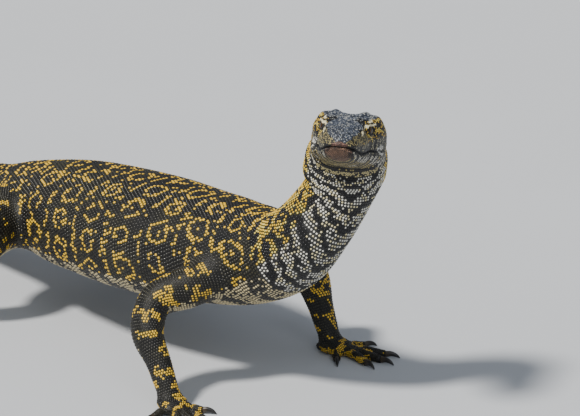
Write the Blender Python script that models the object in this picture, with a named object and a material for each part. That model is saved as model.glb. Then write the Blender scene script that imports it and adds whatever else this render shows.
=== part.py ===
"""Life-size model of a water monitor lizard, standing on all fours with its head raised and turned.

Lengths are in metres, +Z is up, the trunk runs along Y and the animal heads towards -Y.
The head, neck, trunk and tail are lengths of one swept tube, the body. The legs are swept too.
Each named length is a solid of its own, and solids that touch keep a gap between them.
"""

import math

import bmesh
import bpy
import numpy as np
from mathutils import Matrix, Vector

MM = 0.001
GAP = 0.3 * MM
ROW_SHIFT = Vector((-0.0125, -0.5735, 0.0))

# Pose of the head: its yaw from -Y towards -X, its pitch above the horizon, and its roll
HEAD_YAW = math.radians(46.0)
HEAD_PITCH = math.radians(13.0)
HEAD_ROLL = math.radians(-4.0)
SNOUT_TIP = Vector((-56.9, -60.1, 248.8)) * MM
HEAD_STRAIGHT = 70.0 * MM
MOUTH_CORNER = 82.0 * MM
MOUTH_GAP = 0.4 * MM
LIP_GROOVE = 0.9 * MM
TIP_ROUND = 9.0 * MM
TIP_ROUND_TOP = 6.0 * MM
CHIN_SET_BACK = 1.6 * MM

# Head sections: distance from the snout tip, half width, top, mouth line, underside,
# and the powers of the upper and lower curves (2 is an ellipse, more is squarer)
HEAD_SECTIONS = (
    (0.0, 10.5, 7.6, 0.0, -8.2, 2.2, 2.2),
    (8.0, 13.2, 10.6, -2.8, -10.6, 2.4, 2.2),
    (14.0, 15.0, 12.6, -4.6, -12.4, 2.6, 2.2),
    (25.0, 17.8, 15.2, -5.6, -15.2, 2.8, 2.2),
    (36.0, 19.4, 17.4, -5.0, -17.2, 3.0, 2.2),
    (46.0, 20.4, 18.8, -4.6, -18.6, 3.0, 2.2),
    (58.0, 25.0, 19.6, -5.2, -20.2, 3.6, 2.2),
    (70.0, 27.8, 20.2, -6.0, -21.6, 4.2, 2.2),
    (82.0, 29.0, 20.4, -5.6, -22.6, 4.2, 2.2),
    (96.0, 29.6, 20.4, -3.5, -23.6, 3.2, 2.2),
)

# Neck and trunk sections, head to vent: centre, dorsal direction, half width, height above
# the centre, depth below it, and the two powers
TRUNK_SECTIONS = (
    ((9.0, 8.0, 211.0), (0.55, 0.62, 0.80), 32.0, 22.0, 27.0, 2.4, 2.2),
    ((10.6, 19.4, 182.0), (0.42, 0.80, 0.68), 27.6, 23.0, 28.0, 2.2, 2.1),
    ((2.0, 34.6, 155.0), (0.28, 0.90, 0.60), 28.0, 25.5, 33.0, 2.2, 2.1),
    ((0.0, 67.0, 126.0), (0.05, 0.50, 0.80), 34.0, 28.0, 37.0, 2.2, 2.1),
    ((0.0, 114.0, 108.0), (0.0, 0.15, 1.0), 43.0, 38.0, 42.0, 2.2, 2.2),
    ((0.0, 158.0, 101.0), (0.0, 0.05, 1.0), 51.0, 42.0, 44.0, 2.2, 2.3),
    ((0.0, 240.0, 94.0), (0.0, 0.0, 1.0), 60.0, 44.0, 47.0, 2.2, 2.4),
    ((0.0, 322.0, 88.0), (0.0, 0.0, 1.0), 54.0, 42.0, 44.0, 2.2, 2.4),
    ((0.0, 388.0, 80.0), (0.0, 0.0, 1.0), 40.0, 36.0, 36.0, 2.1, 2.2),
    ((0.0, 430.0, 73.0), (0.0, 0.0, 1.0), 29.0, 30.0, 27.0, 1.9, 2.2),
)

TAIL_LENGTH = 0.86
TAIL_STATIONS = 12
TAIL_SWING = math.radians(34.0)
TAIL_WAVE = 0.92
TAIL_DROP = 0.20
TAIL_HALF_WIDTH = 26.0 * MM
TAIL_HALF_HEIGHT = 27.0 * MM
TAIL_TIP = 0.9 * MM
KEEL_POWER = 1.35
FLOOR_SINK = 1.0 * MM

# Where the body is parted, as distances from the snout tip along its middle line
HEAD_END = 0.100
NECK_END = 0.218
VENT = 0.583
TAIL_CUTS = (0.12, 0.34, 0.58)

HEAD_SIDES, NECK_SIDES, TRUNK_SIDES, TAIL_SIDES = 44, 32, 28, 16

# Folds of the throat: distance from the snout tip, depth, and half length along the body
THROAT_FOLDS = ((0.084, 1.3 * MM, 3.2 * MM), (0.101, 1.1 * MM, 3.0 * MM), (0.124, 0.9 * MM, 3.4 * MM))

# Features of the head, in its own frame: back from the snout tip, out from the middle, up.
# The eyes face forward, out and up by the parts given.
EYE_PLACE = (46.0, 14.4, 9.8)
EYE_RADIUS = 6.0 * MM
EYE_FACING = (0.26, 0.90, 0.28)
LID_RING, LID_THICK, LID_SQUASH = 4.9 * MM, 1.25 * MM, 0.86
LID_OUT = 4.5 * MM
BROW_LIFT = 1.5 * MM
EYE_DENT = 2.0 * MM
NOSTRIL_PLACE = (23.5, 13.8, 10.9)
NOSTRIL_SIZE = (2.3, 2.0, 1.5)
EAR_PLACE = (91.0, 29.0, 2.0)
EAR_SIZE = (3.0, 2.6, 4.6)

# Legs, for the left side: middle line from inside the trunk to inside the foot, the side of
# the limb that faces up or forward, and the section's two radii
FRONT_LEG = (
    ((20.0, 114.0, 98.0), (0.0, -0.3, 1.0), 20.0, 23.0),
    ((52.0, 126.0, 89.0), (0.1, -0.4, 1.0), 17.0, 19.0),
    ((80.0, 143.0, 76.0), (0.4, -0.6, 0.7), 14.0, 16.0),
    ((91.0, 141.0, 58.0), (0.3, -1.0, 0.3), 13.0, 15.0),
    ((92.0, 128.0, 34.0), (0.1, -1.0, 0.3), 9.8, 10.8),
    ((93.0, 116.0, 10.0), (0.0, -1.0, 0.3), 9.0, 8.4),
)
HIND_LEG = (
    ((14.0, 388.0, 80.0), (0.0, 0.2, 1.0), 27.0, 29.0),
    ((50.0, 370.0, 79.0), (0.1, 0.1, 1.0), 23.5, 26.0),
    ((80.0, 353.0, 72.0), (0.5, -0.3, 0.9), 17.5, 20.0),
    ((93.0, 359.0, 55.0), (0.6, -0.8, 0.4), 14.5, 17.5),
    ((98.0, 378.0, 34.0), (0.5, -0.8, 0.3), 10.5, 12.5),
    ((102.0, 392.0, 10.0), (0.4, -0.8, 0.3), 9.2, 9.6),
)
LEG_SIDES, LEG_RINGS = 18, 17
JOINT_STATION = 2.55

# Feet: turn outwards, palm length behind and ahead of the ankle, palm half width, and for each
# toe its angle outwards, its length, its radius and where it leaves the palm
FRONT_FOOT = {
    "turn": math.radians(14.0),
    "palm": (9.0, 17.0, 12.5, 8.2),
    "toes": ((-52, 17, 3.7), (-20, 26, 3.9), (2, 30, 4.0), (24, 28, 3.9), (62, 19, 3.6)),
}
HIND_FOOT = {
    "turn": math.radians(20.0),
    "palm": (11.0, 26.0, 13.5, 8.6),
    "toes": ((-44, 18, 3.9), (-18, 31, 4.1), (0, 42, 4.2), (18, 50, 4.2), (66, 30, 3.9)),
}
PALM_SIDES, TOE_SIDES, CLAW_SIDES = 16, 8, 8
TOE_RINGS, CLAW_RINGS = 5, 5
CLAW_LENGTH = 12.0 * MM
CLAW_ROOT = (1.9 * MM, 2.7 * MM)
CLAW_TIP = 0.35 * MM
STEP = {"front_right": -14.0, "front_left": 10.0, "hind_right": 12.0, "hind_left": -12.0}

SKIN_DARK = (0.045, 0.043, 0.035)
SKIN_BACK = (0.075, 0.072, 0.050)
HORN = (0.030, 0.027, 0.022)
EYE_DARK = (0.020, 0.014, 0.008)


def clear_scene():
    for obj in list(bpy.data.objects):
        bpy.data.objects.remove(obj, do_unlink=True)


def material(name, colour, roughness):
    made = bpy.data.materials.get(name)
    if made is None:
        made = bpy.data.materials.new(name)
        made.use_nodes = True
        shader = made.node_tree.nodes["Principled BSDF"]
        shader.inputs["Base Color"].default_value = (*colour, 1.0)
        shader.inputs["Roughness"].default_value = roughness
        shader.inputs["Metallic"].default_value = 0.0
    return made


def new_object(name, points, faces):
    mesh = bpy.data.meshes.new(name)
    mesh.from_pydata([tuple(p) for p in points], [], faces)
    work = bmesh.new()
    work.from_mesh(mesh)
    bmesh.ops.recalc_face_normals(work, faces=work.faces)
    work.to_mesh(mesh)
    work.free()
    made = bpy.data.objects.new(name, mesh)
    bpy.context.scene.collection.objects.link(made)
    return made


def combine(target, tools, operation, solver="EXACT"):
    """Joins, cuts or intersects target with the tools, which are then removed."""
    group = bpy.data.collections.new("tools")
    for tool in tools:
        for owner in list(tool.users_collection):
            owner.objects.unlink(tool)
        group.objects.link(tool)
    step = target.modifiers.new("combine", "BOOLEAN")
    step.operation = operation
    step.solver = solver
    step.operand_type = "COLLECTION"
    step.collection = group
    bpy.context.view_layer.update()
    graph = bpy.context.evaluated_depsgraph_get()
    result = bpy.data.meshes.new_from_object(target.evaluated_get(graph))
    target.modifiers.clear()
    target.data = result
    for tool in tools:
        bpy.data.objects.remove(tool, do_unlink=True)
    bpy.data.collections.remove(group)
    keep_largest(target)
    return target


def keep_largest(obj):
    """Leaves only the largest closed surface of a mesh."""
    work = bmesh.new()
    work.from_mesh(obj.data)
    work.faces.ensure_lookup_table()
    seen, shells = set(), []
    for start in work.faces:
        if start.index in seen:
            continue
        seen.add(start.index)
        shell, queue = [], [start]
        while queue:
            face = queue.pop()
            shell.append(face)
            for edge in face.edges:
                for other in edge.link_faces:
                    if other.index not in seen:
                        seen.add(other.index)
                        queue.append(other)
        shells.append(shell)
    shells.sort(key=lambda s: sum(f.calc_area() for f in s), reverse=True)
    dropped = [f for shell in shells[1:] for f in shell]
    bmesh.ops.delete(work, geom=dropped, context="FACES")
    work.to_mesh(obj.data)
    work.free()


def curve_through(points, samples, slopes_at=None):
    """Points evenly spaced along a smooth curve, and the arc length at each of the given points."""
    knots = np.array([tuple(p) for p in points], float)
    chord = np.linalg.norm(np.diff(knots, axis=0), axis=1)
    at = np.concatenate([[0.0], np.cumsum(chord)])
    slope = np.gradient(knots, at, axis=0)
    for index, direction in (slopes_at or {}).items():
        slope[index] = direction
    fine_at = np.linspace(0.0, at[-1], samples)
    span = np.clip(np.searchsorted(at, fine_at, side="right") - 1, 0, len(chord) - 1)
    t = ((fine_at - at[span]) / chord[span])[:, None]
    size = chord[span][:, None]
    fine = (
        (2 * t**3 - 3 * t**2 + 1) * knots[span]
        + (t**3 - 2 * t**2 + t) * size * slope[span]
        + (3 * t**2 - 2 * t**3) * knots[span + 1]
        + (t**3 - t**2) * size * slope[span + 1]
    )
    arc = np.concatenate([[0.0], np.cumsum(np.linalg.norm(np.diff(fine, axis=0), axis=1))])
    return fine, arc, np.interp(at, fine_at, arc)


def smooth_table(at, rows, where):
    """Monotone cubic interpolation of each column of rows, so that sizes never overshoot."""
    at, rows = np.asarray(at, float), np.asarray(rows, float)
    step = np.diff(at)[:, None]
    rise = np.diff(rows, axis=0) / step
    slope = np.zeros_like(rows)
    same = rise[:-1] * rise[1:] > 0
    safe = np.where(same, rise[:-1] + rise[1:], 1.0)
    slope[1:-1] = np.where(same, 2 * rise[:-1] * rise[1:] / safe, 0.0)
    slope[0], slope[-1] = rise[0], rise[-1]
    where = np.clip(where, at[0], at[-1])
    span = np.clip(np.searchsorted(at, where, side="right") - 1, 0, len(at) - 2)
    h = step[span]
    t = ((where - at[span])[:, None]) / h
    return (
        (2 * t**3 - 3 * t**2 + 1) * rows[span]
        + (t**3 - 2 * t**2 + t) * h * slope[span]
        + (3 * t**2 - 2 * t**3) * rows[span + 1]
        + (t**3 - t**2) * h * slope[span + 1]
    )


def signed_power(value, power):
    return np.sign(value) * np.abs(value) ** power


def bump(value, centre, width):
    return np.exp(-(((value - centre) / width) ** 2))


def head_axes():
    """Forward, left and up of the head."""
    level = Vector((-math.sin(HEAD_YAW), -math.cos(HEAD_YAW), 0.0))
    forward = level * math.cos(HEAD_PITCH) + Vector((0, 0, math.sin(HEAD_PITCH)))
    left = Vector((0, 0, 1)).cross(forward).normalized()
    up = forward.cross(left)
    turn = Matrix.Rotation(HEAD_ROLL, 3, forward)
    return forward, turn @ left, turn @ up


def in_head(back, out, up):
    """A point of the head from its distances back, to the animal's left, and up."""
    forward, left, above = head_axes()
    return SNOUT_TIP - forward * back + left * out + above * up


def tail_sections(start):
    """Points, dorsal directions and sizes of the tail, which curves and comes down to the floor."""
    rows = []
    place, before = Vector(start), 0.0
    for i in range(1, TAIL_STATIONS + 1):
        share = i / TAIL_STATIONS
        along = share * TAIL_LENGTH
        turn = TAIL_SWING * math.sin(2 * math.pi * (along + before) / 2 / TAIL_WAVE)
        place = place + Vector((math.sin(turn), math.cos(turn), 0.0)) * (along - before)
        before = along
        half = TAIL_TIP + TAIL_HALF_HEIGHT * (1 - share) ** 1.05
        wide = TAIL_TIP + TAIL_HALF_WIDTH * (1 - share) ** 1.25
        below = half * 0.85
        drop = min(1.0, along / TAIL_DROP)
        ease = drop * drop * (3 - 2 * drop)
        height = start[2] * (1 - ease) + (below - FLOOR_SINK * min(1.0, below / (4 * MM))) * ease
        place.z = height
        rows.append((Vector(place), (0, 0, 1), wide, half * 1.15, below, KEEL_POWER + 0.4 * (1 - share), 2.1))
    return rows


class Body:
    """The swept tube from the snout tip to the tail tip."""

    def __init__(self):
        forward = head_axes()[0]
        up = head_axes()[2]
        straight = [SNOUT_TIP, SNOUT_TIP - forward * HEAD_STRAIGHT / 2, SNOUT_TIP - forward * HEAD_STRAIGHT]
        trunk = [(Vector(r[0]) * MM, r[1], *(v * MM for v in r[2:5]), *r[5:]) for r in TRUNK_SECTIONS]
        tail = tail_sections(trunk[-1][0])
        rows = trunk + tail
        points = straight + [r[0] for r in rows]
        self.fine, self.arc, at = curve_through(points, 6000, {2: tuple(-forward)})
        self.length = self.arc[-1]
        hints = [tuple(up)] * 3 + [tuple(Vector(r[1]).normalized()) for r in rows]
        self.hint_at, self.hints = at, np.array(hints)
        head_at = [r[0] * MM for r in HEAD_SECTIONS]
        head_rows = [
            (r[1] * MM, (r[2] - r[3]) * MM, (r[3] - r[4]) * MM, r[5], r[6], r[3] * MM) for r in HEAD_SECTIONS
        ]
        body_rows = [(r[2], r[3], r[4], r[5], r[6], 0.0) for r in rows]
        self.size_at = np.array(head_at + list(at[3:]))
        self.sizes = np.array(head_rows + body_rows)

    def frames(self, where):
        """Centre, tailward, left and dorsal unit vectors at each distance from the snout tip."""
        step = 0.5 * MM
        place = self.point(where)
        tangent = self.point(where + step) - self.point(where - step)
        tangent /= np.linalg.norm(tangent, axis=1)[:, None]
        hint = smooth_table(self.hint_at, self.hints, where)
        up = hint - (hint * tangent).sum(1)[:, None] * tangent
        up /= np.linalg.norm(up, axis=1)[:, None]
        left = np.cross(up, -tangent)
        return place, tangent, left, up

    def point(self, where):
        where = np.asarray(where, float)
        inside = np.stack([np.interp(where, self.arc, self.fine[:, k]) for k in range(3)], axis=1)
        ahead = np.minimum(where, 0.0)[:, None]
        behind = np.maximum(where - self.length, 0.0)[:, None]
        first = self.fine[1] - self.fine[0]
        last = self.fine[-1] - self.fine[-2]
        return inside + ahead * first / np.linalg.norm(first) + behind * last / np.linalg.norm(last)

    def sections(self, where, angles, grow=0.0):
        """Offsets to the left and up of each section's outline: one row for each distance."""
        size = smooth_table(self.size_at, self.sizes, where)
        wide, above, below, top_power, bottom_power, middle = (size[:, k : k + 1] for k in range(6))
        s = where[:, None]
        tip = np.clip(s / TIP_ROUND, 0, 1)
        tip_top = np.clip(s / TIP_ROUND_TOP, 0, 1)
        chin = np.clip((s - CHIN_SET_BACK) / TIP_ROUND, 0, 1)
        round_off = [np.sqrt(np.maximum(1 - (1 - t) ** 2, 0.004)) for t in (tip, tip_top, chin)]
        cos, sin = np.cos(angles)[None], np.sin(angles)[None]
        power = np.where(sin >= 0, top_power, bottom_power)
        side = wide * np.where(sin >= 0, round_off[0], np.sqrt(round_off[0] * round_off[2]))
        out = side * signed_power(cos, 2 / power)
        rise = np.where(sin >= 0, above * round_off[1], below * round_off[2])
        up = middle + rise * signed_power(sin, 2 / power)
        out, up = self.features(s, angles[None], out, up)
        far = np.maximum(np.hypot(out, up - middle), 1e-6)
        return out * (1 + grow / far), up + (up - middle) * grow / far

    def features(self, s, angle, out, up):
        """Lips, brows, the hollow before each eye, the crown's swellings and the throat's folds."""
        turned = np.abs(np.angle(np.exp(1j * angle)))
        from_side = np.minimum(turned, math.pi - turned)
        from_top = np.abs(np.angle(np.exp(1j * (angle - math.pi / 2))))
        from_below = np.abs(np.angle(np.exp(1j * (angle + math.pi / 2))))
        mouth = np.clip((MOUTH_CORNER + 4 * MM - s) / (8 * MM), 0, 1)
        groove = LIP_GROOVE * mouth * bump(from_side, 0.0, 0.13)
        lip = 0.7 * MM * mouth * bump(from_side, 0.33, 0.16) * np.clip(s / (12 * MM), 0, 1)
        out = out - np.sign(out) * (groove - lip) * np.clip(np.abs(out) / (3 * MM), 0, 1)
        brow = BROW_LIFT * bump(s, 47 * MM, 10 * MM) * bump(from_top, 0.86, 0.26)
        ridge = 0.8 * MM * bump(s, 30 * MM, 11 * MM) * bump(from_top, 0.80, 0.22)
        temple = 2.4 * MM * bump(s, 78 * MM, 15 * MM) * bump(from_top, 0.60, 0.38)
        crest = 2.9 * MM * bump(s, 82 * MM, 16 * MM) * bump(from_top, 0.15, 0.11)
        nape = 1.0 * MM * bump(s, 88 * MM, 18 * MM) * bump(from_top, 0.0, 0.09)
        dent = EYE_DENT * bump(s, 37.5 * MM, 6 * MM) * bump(from_side, 0.62, 0.34) * np.where(angle < math.pi, 1, 0)
        up = up + brow + ridge + temple + crest - nape
        jowl = 3.4 * MM * bump(s, 124 * MM, 11 * MM) * bump(from_side, 0.0, 0.8)
        jowl = jowl * np.clip(np.abs(out) / (12 * MM), 0, 1)
        out = out - np.sign(out) * (dent - jowl)
        out = out + np.sign(out) * (brow + ridge) * 0.5
        for place, depth, length in THROAT_FOLDS:
            fold = depth * bump(s, place, length) * np.clip(1.3 - from_below, 0, 0.5) * 2
            up = up + fold * bump(from_below, 0.0, 1.0)
            out = out - np.sign(out) * fold * 0.5 * np.clip(np.abs(out) / (12 * MM), 0, 1)
        return out, up

    def rings(self, where, sides, grow=0.0):
        where = np.asarray(where, float)
        angles = np.arange(sides) * 2 * math.pi / sides
        place, _, left, up = self.frames(where)
        out, rise = self.sections(where, angles, grow)
        points = place[:, None] + out[..., None] * left[:, None] + rise[..., None] * up[:, None]
        points[..., 2] = np.maximum(points[..., 2], 0.0)
        return points

    def length_of(self, name, where, sides, grow=0.0):
        return tube(name, self.rings(where, sides, grow))


def tube(name, rings):
    """A closed mesh from rings of points, with flat ends."""
    count, sides = rings.shape[:2]
    faces = []
    for i in range(count - 1):
        for k in range(sides):
            after = (k + 1) % sides
            faces.append((i * sides + k, i * sides + after, (i + 1) * sides + after, (i + 1) * sides + k))
    faces.append(tuple(range(sides)))
    faces.append(tuple(range((count - 1) * sides, count * sides))[::-1])
    return new_object(name, rings.reshape(-1, 3), faces)


def stations(start, end, spacing):
    count = max(2, round((end - start) / spacing) + 1)
    return np.linspace(start, end, count)


def ellipsoid(name, centre, axes, radii, segments=16, rings=10):
    """A closed ellipsoid with its own axes."""
    work = bmesh.new()
    bmesh.ops.create_uvsphere(work, u_segments=segments, v_segments=rings, radius=1.0)
    basis = Matrix([a * r for a, r in zip(axes, radii)]).transposed().to_4x4()
    bmesh.ops.transform(work, matrix=Matrix.Translation(centre) @ basis, verts=work.verts)
    points = [v.co.copy() for v in work.verts]
    faces = [tuple(v.index for v in f.verts) for f in work.faces]
    work.free()
    return new_object(name, points, faces)


def eye_frame(side):
    """Centre of an eye, the way that it looks, and the two directions across that."""
    forward, left, up = head_axes()
    back, out, rise = (v * MM for v in EYE_PLACE)
    centre = in_head(back, side * out, rise)
    facing = (forward * EYE_FACING[0] + left * side * EYE_FACING[1] + up * EYE_FACING[2]).normalized()
    across = up.cross(facing).normalized()
    return centre, facing, across, facing.cross(across)


def lid_ring(side):
    """The rim of the two lids, a flattened ring round the eye."""
    centre, facing, across, upward = eye_frame(side)
    round_count, tube_count = 22, 7
    rings = []
    for i in range(round_count):
        turn = 2 * math.pi * i / round_count
        outward = across * math.cos(turn) + upward * math.sin(turn) * LID_SQUASH
        middle = centre + facing * LID_OUT + outward * LID_RING
        spoke = outward.normalized()
        ring = []
        for k in range(tube_count):
            a = 2 * math.pi * k / tube_count
            ring.append(middle + (spoke * math.cos(a) * 1.35 + facing * math.sin(a)) * LID_THICK)
        rings.append(ring)
    points = [p for ring in rings for p in ring]
    faces = []
    for i in range(round_count):
        j = (i + 1) % round_count
        for k in range(tube_count):
            m = (k + 1) % tube_count
            faces.append((i * tube_count + k, i * tube_count + m, j * tube_count + m, j * tube_count + k))
    return new_object("lid", points, faces)


def jaw_region(name, lift, back):
    """A closed block below the mouth line, as wide as the head, ending behind at the mouth corner."""
    along = [-8.0 * MM] + [x * MM for x in (0, 4, 8, 14, 20, 27, 36, 46, 58, 70)] + [MOUTH_CORNER - back]
    size_at = [r[0] * MM for r in HEAD_SECTIONS]
    heights = smooth_table(size_at, [[r[3] * MM] for r in HEAD_SECTIONS], np.array(along))[:, 0] + lift
    deep, wide = -60 * MM, 50 * MM
    outline = list(zip(along, heights)) + [(along[-1], deep), (along[0], deep)]
    points = [in_head(u, side * wide, z) for side in (-1, 1) for u, z in outline]
    count = len(outline)
    faces = [tuple(range(count)), tuple(range(count, 2 * count))[::-1]]
    faces += [(i, (i + 1) % count, count + (i + 1) % count, count + i) for i in range(count)]
    return new_object(name, points, faces)


def make_head(body):
    """The head with its lids, nostrils and ears, the lower jaw, and the two eyes."""
    near = [0.1, 0.5, 1.2, 2.2, 3.6, 5.4, 8.0, 11.0, 14.5, 18.5, 22.5, 26.5, 30.5]
    far = list(np.arange(34.5, 79.0, 3.8)) + [80.5, 84.0, 87.5, 91.0, 94.5, 97.5]
    where = np.array(near + far + [HEAD_END / MM]) * MM
    head = body.length_of("head", where, HEAD_SIDES)
    jaw = body.length_of("lower_jaw", where, HEAD_SIDES)
    combine(jaw, [jaw_region("below", -MOUTH_GAP / 2, GAP)], "INTERSECT")
    combine(head, [jaw_region("below", MOUTH_GAP / 2, 0.0)], "DIFFERENCE")
    combine(head, [lid_ring(-1), lid_ring(1)], "UNION")
    cutters = []
    axes = head_axes()
    for side in (-1, 1):
        centre, facing, across, upward = eye_frame(side)
        cutters.append(ellipsoid("socket", centre, (across, upward, facing), [EYE_RADIUS + GAP] * 3, 22, 12))
        for place, size in ((NOSTRIL_PLACE, NOSTRIL_SIZE), (EAR_PLACE, EAR_SIZE)):
            spot = in_head(place[0] * MM, side * place[1] * MM, place[2] * MM)
            cutters.append(ellipsoid("opening", spot, axes, [v * MM for v in size], 14, 8))
    combine(head, cutters, "DIFFERENCE")
    eyes = []
    for side, name in ((1, "eye_left"), (-1, "eye_right")):
        centre, facing, across, upward = eye_frame(side)
        eyes.append(ellipsoid(name, centre, (across, upward, facing), [EYE_RADIUS] * 3, 18, 10))
    return [head, jaw], eyes


def make_trunk(body):
    """The neck, the torso and the lengths of the tail."""
    made = [
        body.length_of("neck", stations(HEAD_END + GAP, NECK_END, 6.2 * MM), NECK_SIDES),
        body.length_of("torso", stations(NECK_END + GAP, VENT, 16 * MM), TRUNK_SIDES),
    ]
    cuts = [VENT, *(VENT + c for c in TAIL_CUTS), body.length]
    names = ("tail_base", "tail_front", "tail_middle", "tail_tip")
    for name, start, end in zip(names, cuts, cuts[1:]):
        made.append(body.length_of(name, stations(start + GAP, end, 22 * MM), TAIL_SIDES))
    return made


def leg_rings(rows, side, step, grow=0.0):
    """Rings of a whole leg, and the station where its two lengths meet."""
    shares = np.linspace(0.0, 1.0, len(rows))
    points = [
        Vector((side * r[0][0], r[0][1] + step * share, r[0][2])) * MM for r, share in zip(rows, shares)
    ]
    fine, arc, at = curve_through(points, 800)
    joint = np.interp(JOINT_STATION, np.arange(len(rows)), at)
    hints = np.array([(side * r[1][0], r[1][1], r[1][2]) for r in rows], float)
    radii = np.array([(r[2] * MM, r[3] * MM) for r in rows]) + grow

    def rings(where):
        place = np.stack([np.interp(where, arc, fine[:, k]) for k in range(3)], axis=1)
        slopes = np.gradient(fine, arc, axis=0)
        tangent = np.stack([np.interp(where, arc, slopes[:, k]) for k in range(3)], axis=1)
        tangent /= np.linalg.norm(tangent, axis=1)[:, None]
        hint = smooth_table(at, hints, where)
        up = hint - (hint * tangent).sum(1)[:, None] * tangent
        up /= np.linalg.norm(up, axis=1)[:, None]
        across = np.cross(tangent, up)
        size = smooth_table(at, radii, where)
        angles = np.arange(LEG_SIDES) * 2 * math.pi / LEG_SIDES
        return (
            place[:, None]
            + (size[:, :1] * np.cos(angles))[..., None] * across[:, None]
            + (size[:, 1:] * np.sin(angles))[..., None] * up[:, None]
        )

    return rings, arc[-1], joint, points[-1]


def flat_tube(name, path, sizes, sides, samples, slopes_at=None):
    """A tube along a low path, as wide and high as its sizes, pressed flat on the floor."""
    fine, arc, at = curve_through(path, 200, slopes_at)
    where = np.linspace(0.0, arc[-1], samples)
    place = np.stack([np.interp(where, arc, fine[:, k]) for k in range(3)], axis=1)
    slopes = np.gradient(fine, arc, axis=0)
    tangent = np.stack([np.interp(where, arc, slopes[:, k]) for k in range(3)], axis=1)
    tangent /= np.linalg.norm(tangent, axis=1)[:, None]
    up = np.array([0.0, 0.0, 1.0]) - tangent[:, 2:] * tangent
    up /= np.linalg.norm(up, axis=1)[:, None]
    across = np.cross(tangent, up)
    size = smooth_table(at, np.array(sizes), where)
    angles = (np.arange(sides) + 0.5) * 2 * math.pi / sides
    rings = (
        place[:, None]
        + (size[:, :1] * np.cos(angles))[..., None] * across[:, None]
        + (size[:, 1:] * np.sin(angles))[..., None] * up[:, None]
    )
    rings[..., 2] = np.maximum(rings[..., 2], 0.0)
    return tube(name, rings)


def toe_path(ankle, side, foot, toe):
    """Middle line of one toe, from inside the palm to its end, and the way that it points."""
    angle, length, radius = toe
    turn = foot["turn"] + math.radians(angle)
    heading = Vector((side * math.sin(turn), -math.cos(turn), 0.0))
    foot_heading = Vector((side * math.sin(foot["turn"]), -math.cos(foot["turn"]), 0.0))
    ahead = foot["palm"][1] * MM * (0.72 if abs(angle) < 40 else 0.30)
    root = Vector((ankle.x, ankle.y, 0.0)) + foot_heading * ahead
    reach = foot["palm"][2] * MM * 0.55
    start = root + heading * reach * 0.2
    end = root + heading * (reach + length * MM)
    low = radius * MM * 0.80
    knuckle = start.lerp(end, 0.55)
    path = [
        Vector((start.x, start.y, foot["palm"][3] * MM * 0.62)),
        Vector((knuckle.x, knuckle.y, low + 1.6 * MM)),
        Vector((end.x, end.y, low)),
    ]
    return path, heading


def make_foot(name, ankle, side, foot):
    """The sole and its five toes as one solid, and a claw on each toe."""
    behind, ahead, half, high = (v * MM for v in foot["palm"])
    heading = Vector((side * math.sin(foot["turn"]), -math.cos(foot["turn"]), 0.0))
    base = Vector((ankle.x, ankle.y, 0.0))
    path = [
        base - heading * behind + Vector((0, 0, high * 0.75)),
        base + Vector((0, 0, high * 0.88)),
        base + heading * ahead * 0.6 + Vector((0, 0, high * 0.72)),
        base + heading * ahead + Vector((0, 0, high * 0.55)),
    ]
    sizes = [(half * 0.62, high * 0.80), (half * 0.92, high), (half, high * 0.82), (half * 0.86, high * 0.6)]
    sole = flat_tube(f"{name}_foot", path, sizes, PALM_SIDES, 8)
    toes, claws = [], []
    for number, toe in enumerate(foot["toes"], 1):
        line, direction = toe_path(ankle, side, foot, toe)
        radius = toe[2] * MM
        widths = [(radius * 1.15, radius * 1.15), (radius, radius), (radius * 0.80, radius * 0.82)]
        toes.append(flat_tube("toe", line, widths, TOE_SIDES, TOE_RINGS, {2: tuple(direction)}))
        claws.append(make_claw(f"{name}_claw_{number}", line[-1], direction, toe[1]))
    combine(sole, toes, "UNION")
    return sole, claws


def make_claw(name, toe_end, direction, toe_length):
    """A curved, tapered claw that meets the flat end of its toe and points down to the floor."""
    length = CLAW_LENGTH * (0.82 + 0.006 * toe_length)
    start = toe_end + direction * GAP
    start.z = CLAW_ROOT[1] + 0.35 * MM
    path = [
        start,
        start + direction * length * 0.38 + Vector((0, 0, 0.5 * MM)),
        start + direction * length * 0.75 - Vector((0, 0, 0.6 * MM)),
        start + direction * length - Vector((0, 0, start.z - 0.5 * MM)),
    ]
    shares = (1.0, 0.80, 0.48, 0.0)
    sizes = [(CLAW_TIP + (CLAW_ROOT[0] - CLAW_TIP) * s, CLAW_TIP + (CLAW_ROOT[1] - CLAW_TIP) * s) for s in shares]
    return flat_tube(name, path, sizes, CLAW_SIDES, CLAW_RINGS, {0: tuple(direction)})


def make_leg(body, name, rows, foot):
    """Upper leg, lower leg, foot and claws of one leg."""
    side = 1 if name.endswith("left") else -1
    step = STEP[name]
    rings, length, joint, ankle = leg_rings(rows, side, step)
    split = round(LEG_RINGS * joint / length)
    upper = tube(f"{name}_upper_leg", rings(np.linspace(0.0, joint, split)))
    lower = tube(f"{name}_lower_leg", rings(np.linspace(joint + GAP, length, LEG_RINGS - split)))
    hull = body.length_of("trunk_skin", stations(NECK_END - 0.03, VENT + 0.03, 15 * MM), TRUNK_SIDES, GAP)
    combine(upper, [hull], "DIFFERENCE")
    sole, claws = make_foot(name, ankle, side, foot)
    wide = leg_rings(rows, side, step, GAP)[0]
    combine(sole, [tube("leg_skin", wide(np.linspace(joint, length, LEG_RINGS - split)))], "DIFFERENCE")
    return [upper, lower, sole], claws


def place(objects, look):
    """Gives the objects their material and shading, and moves them to the part's own origin."""
    for obj in objects:
        obj.data.transform(Matrix.Translation(ROW_SHIFT))
        obj.data.materials.clear()
        obj.data.materials.append(look)
        obj.data.shade_smooth()
        obj.data.set_sharp_from_angle(angle=math.radians(50.0))


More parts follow.
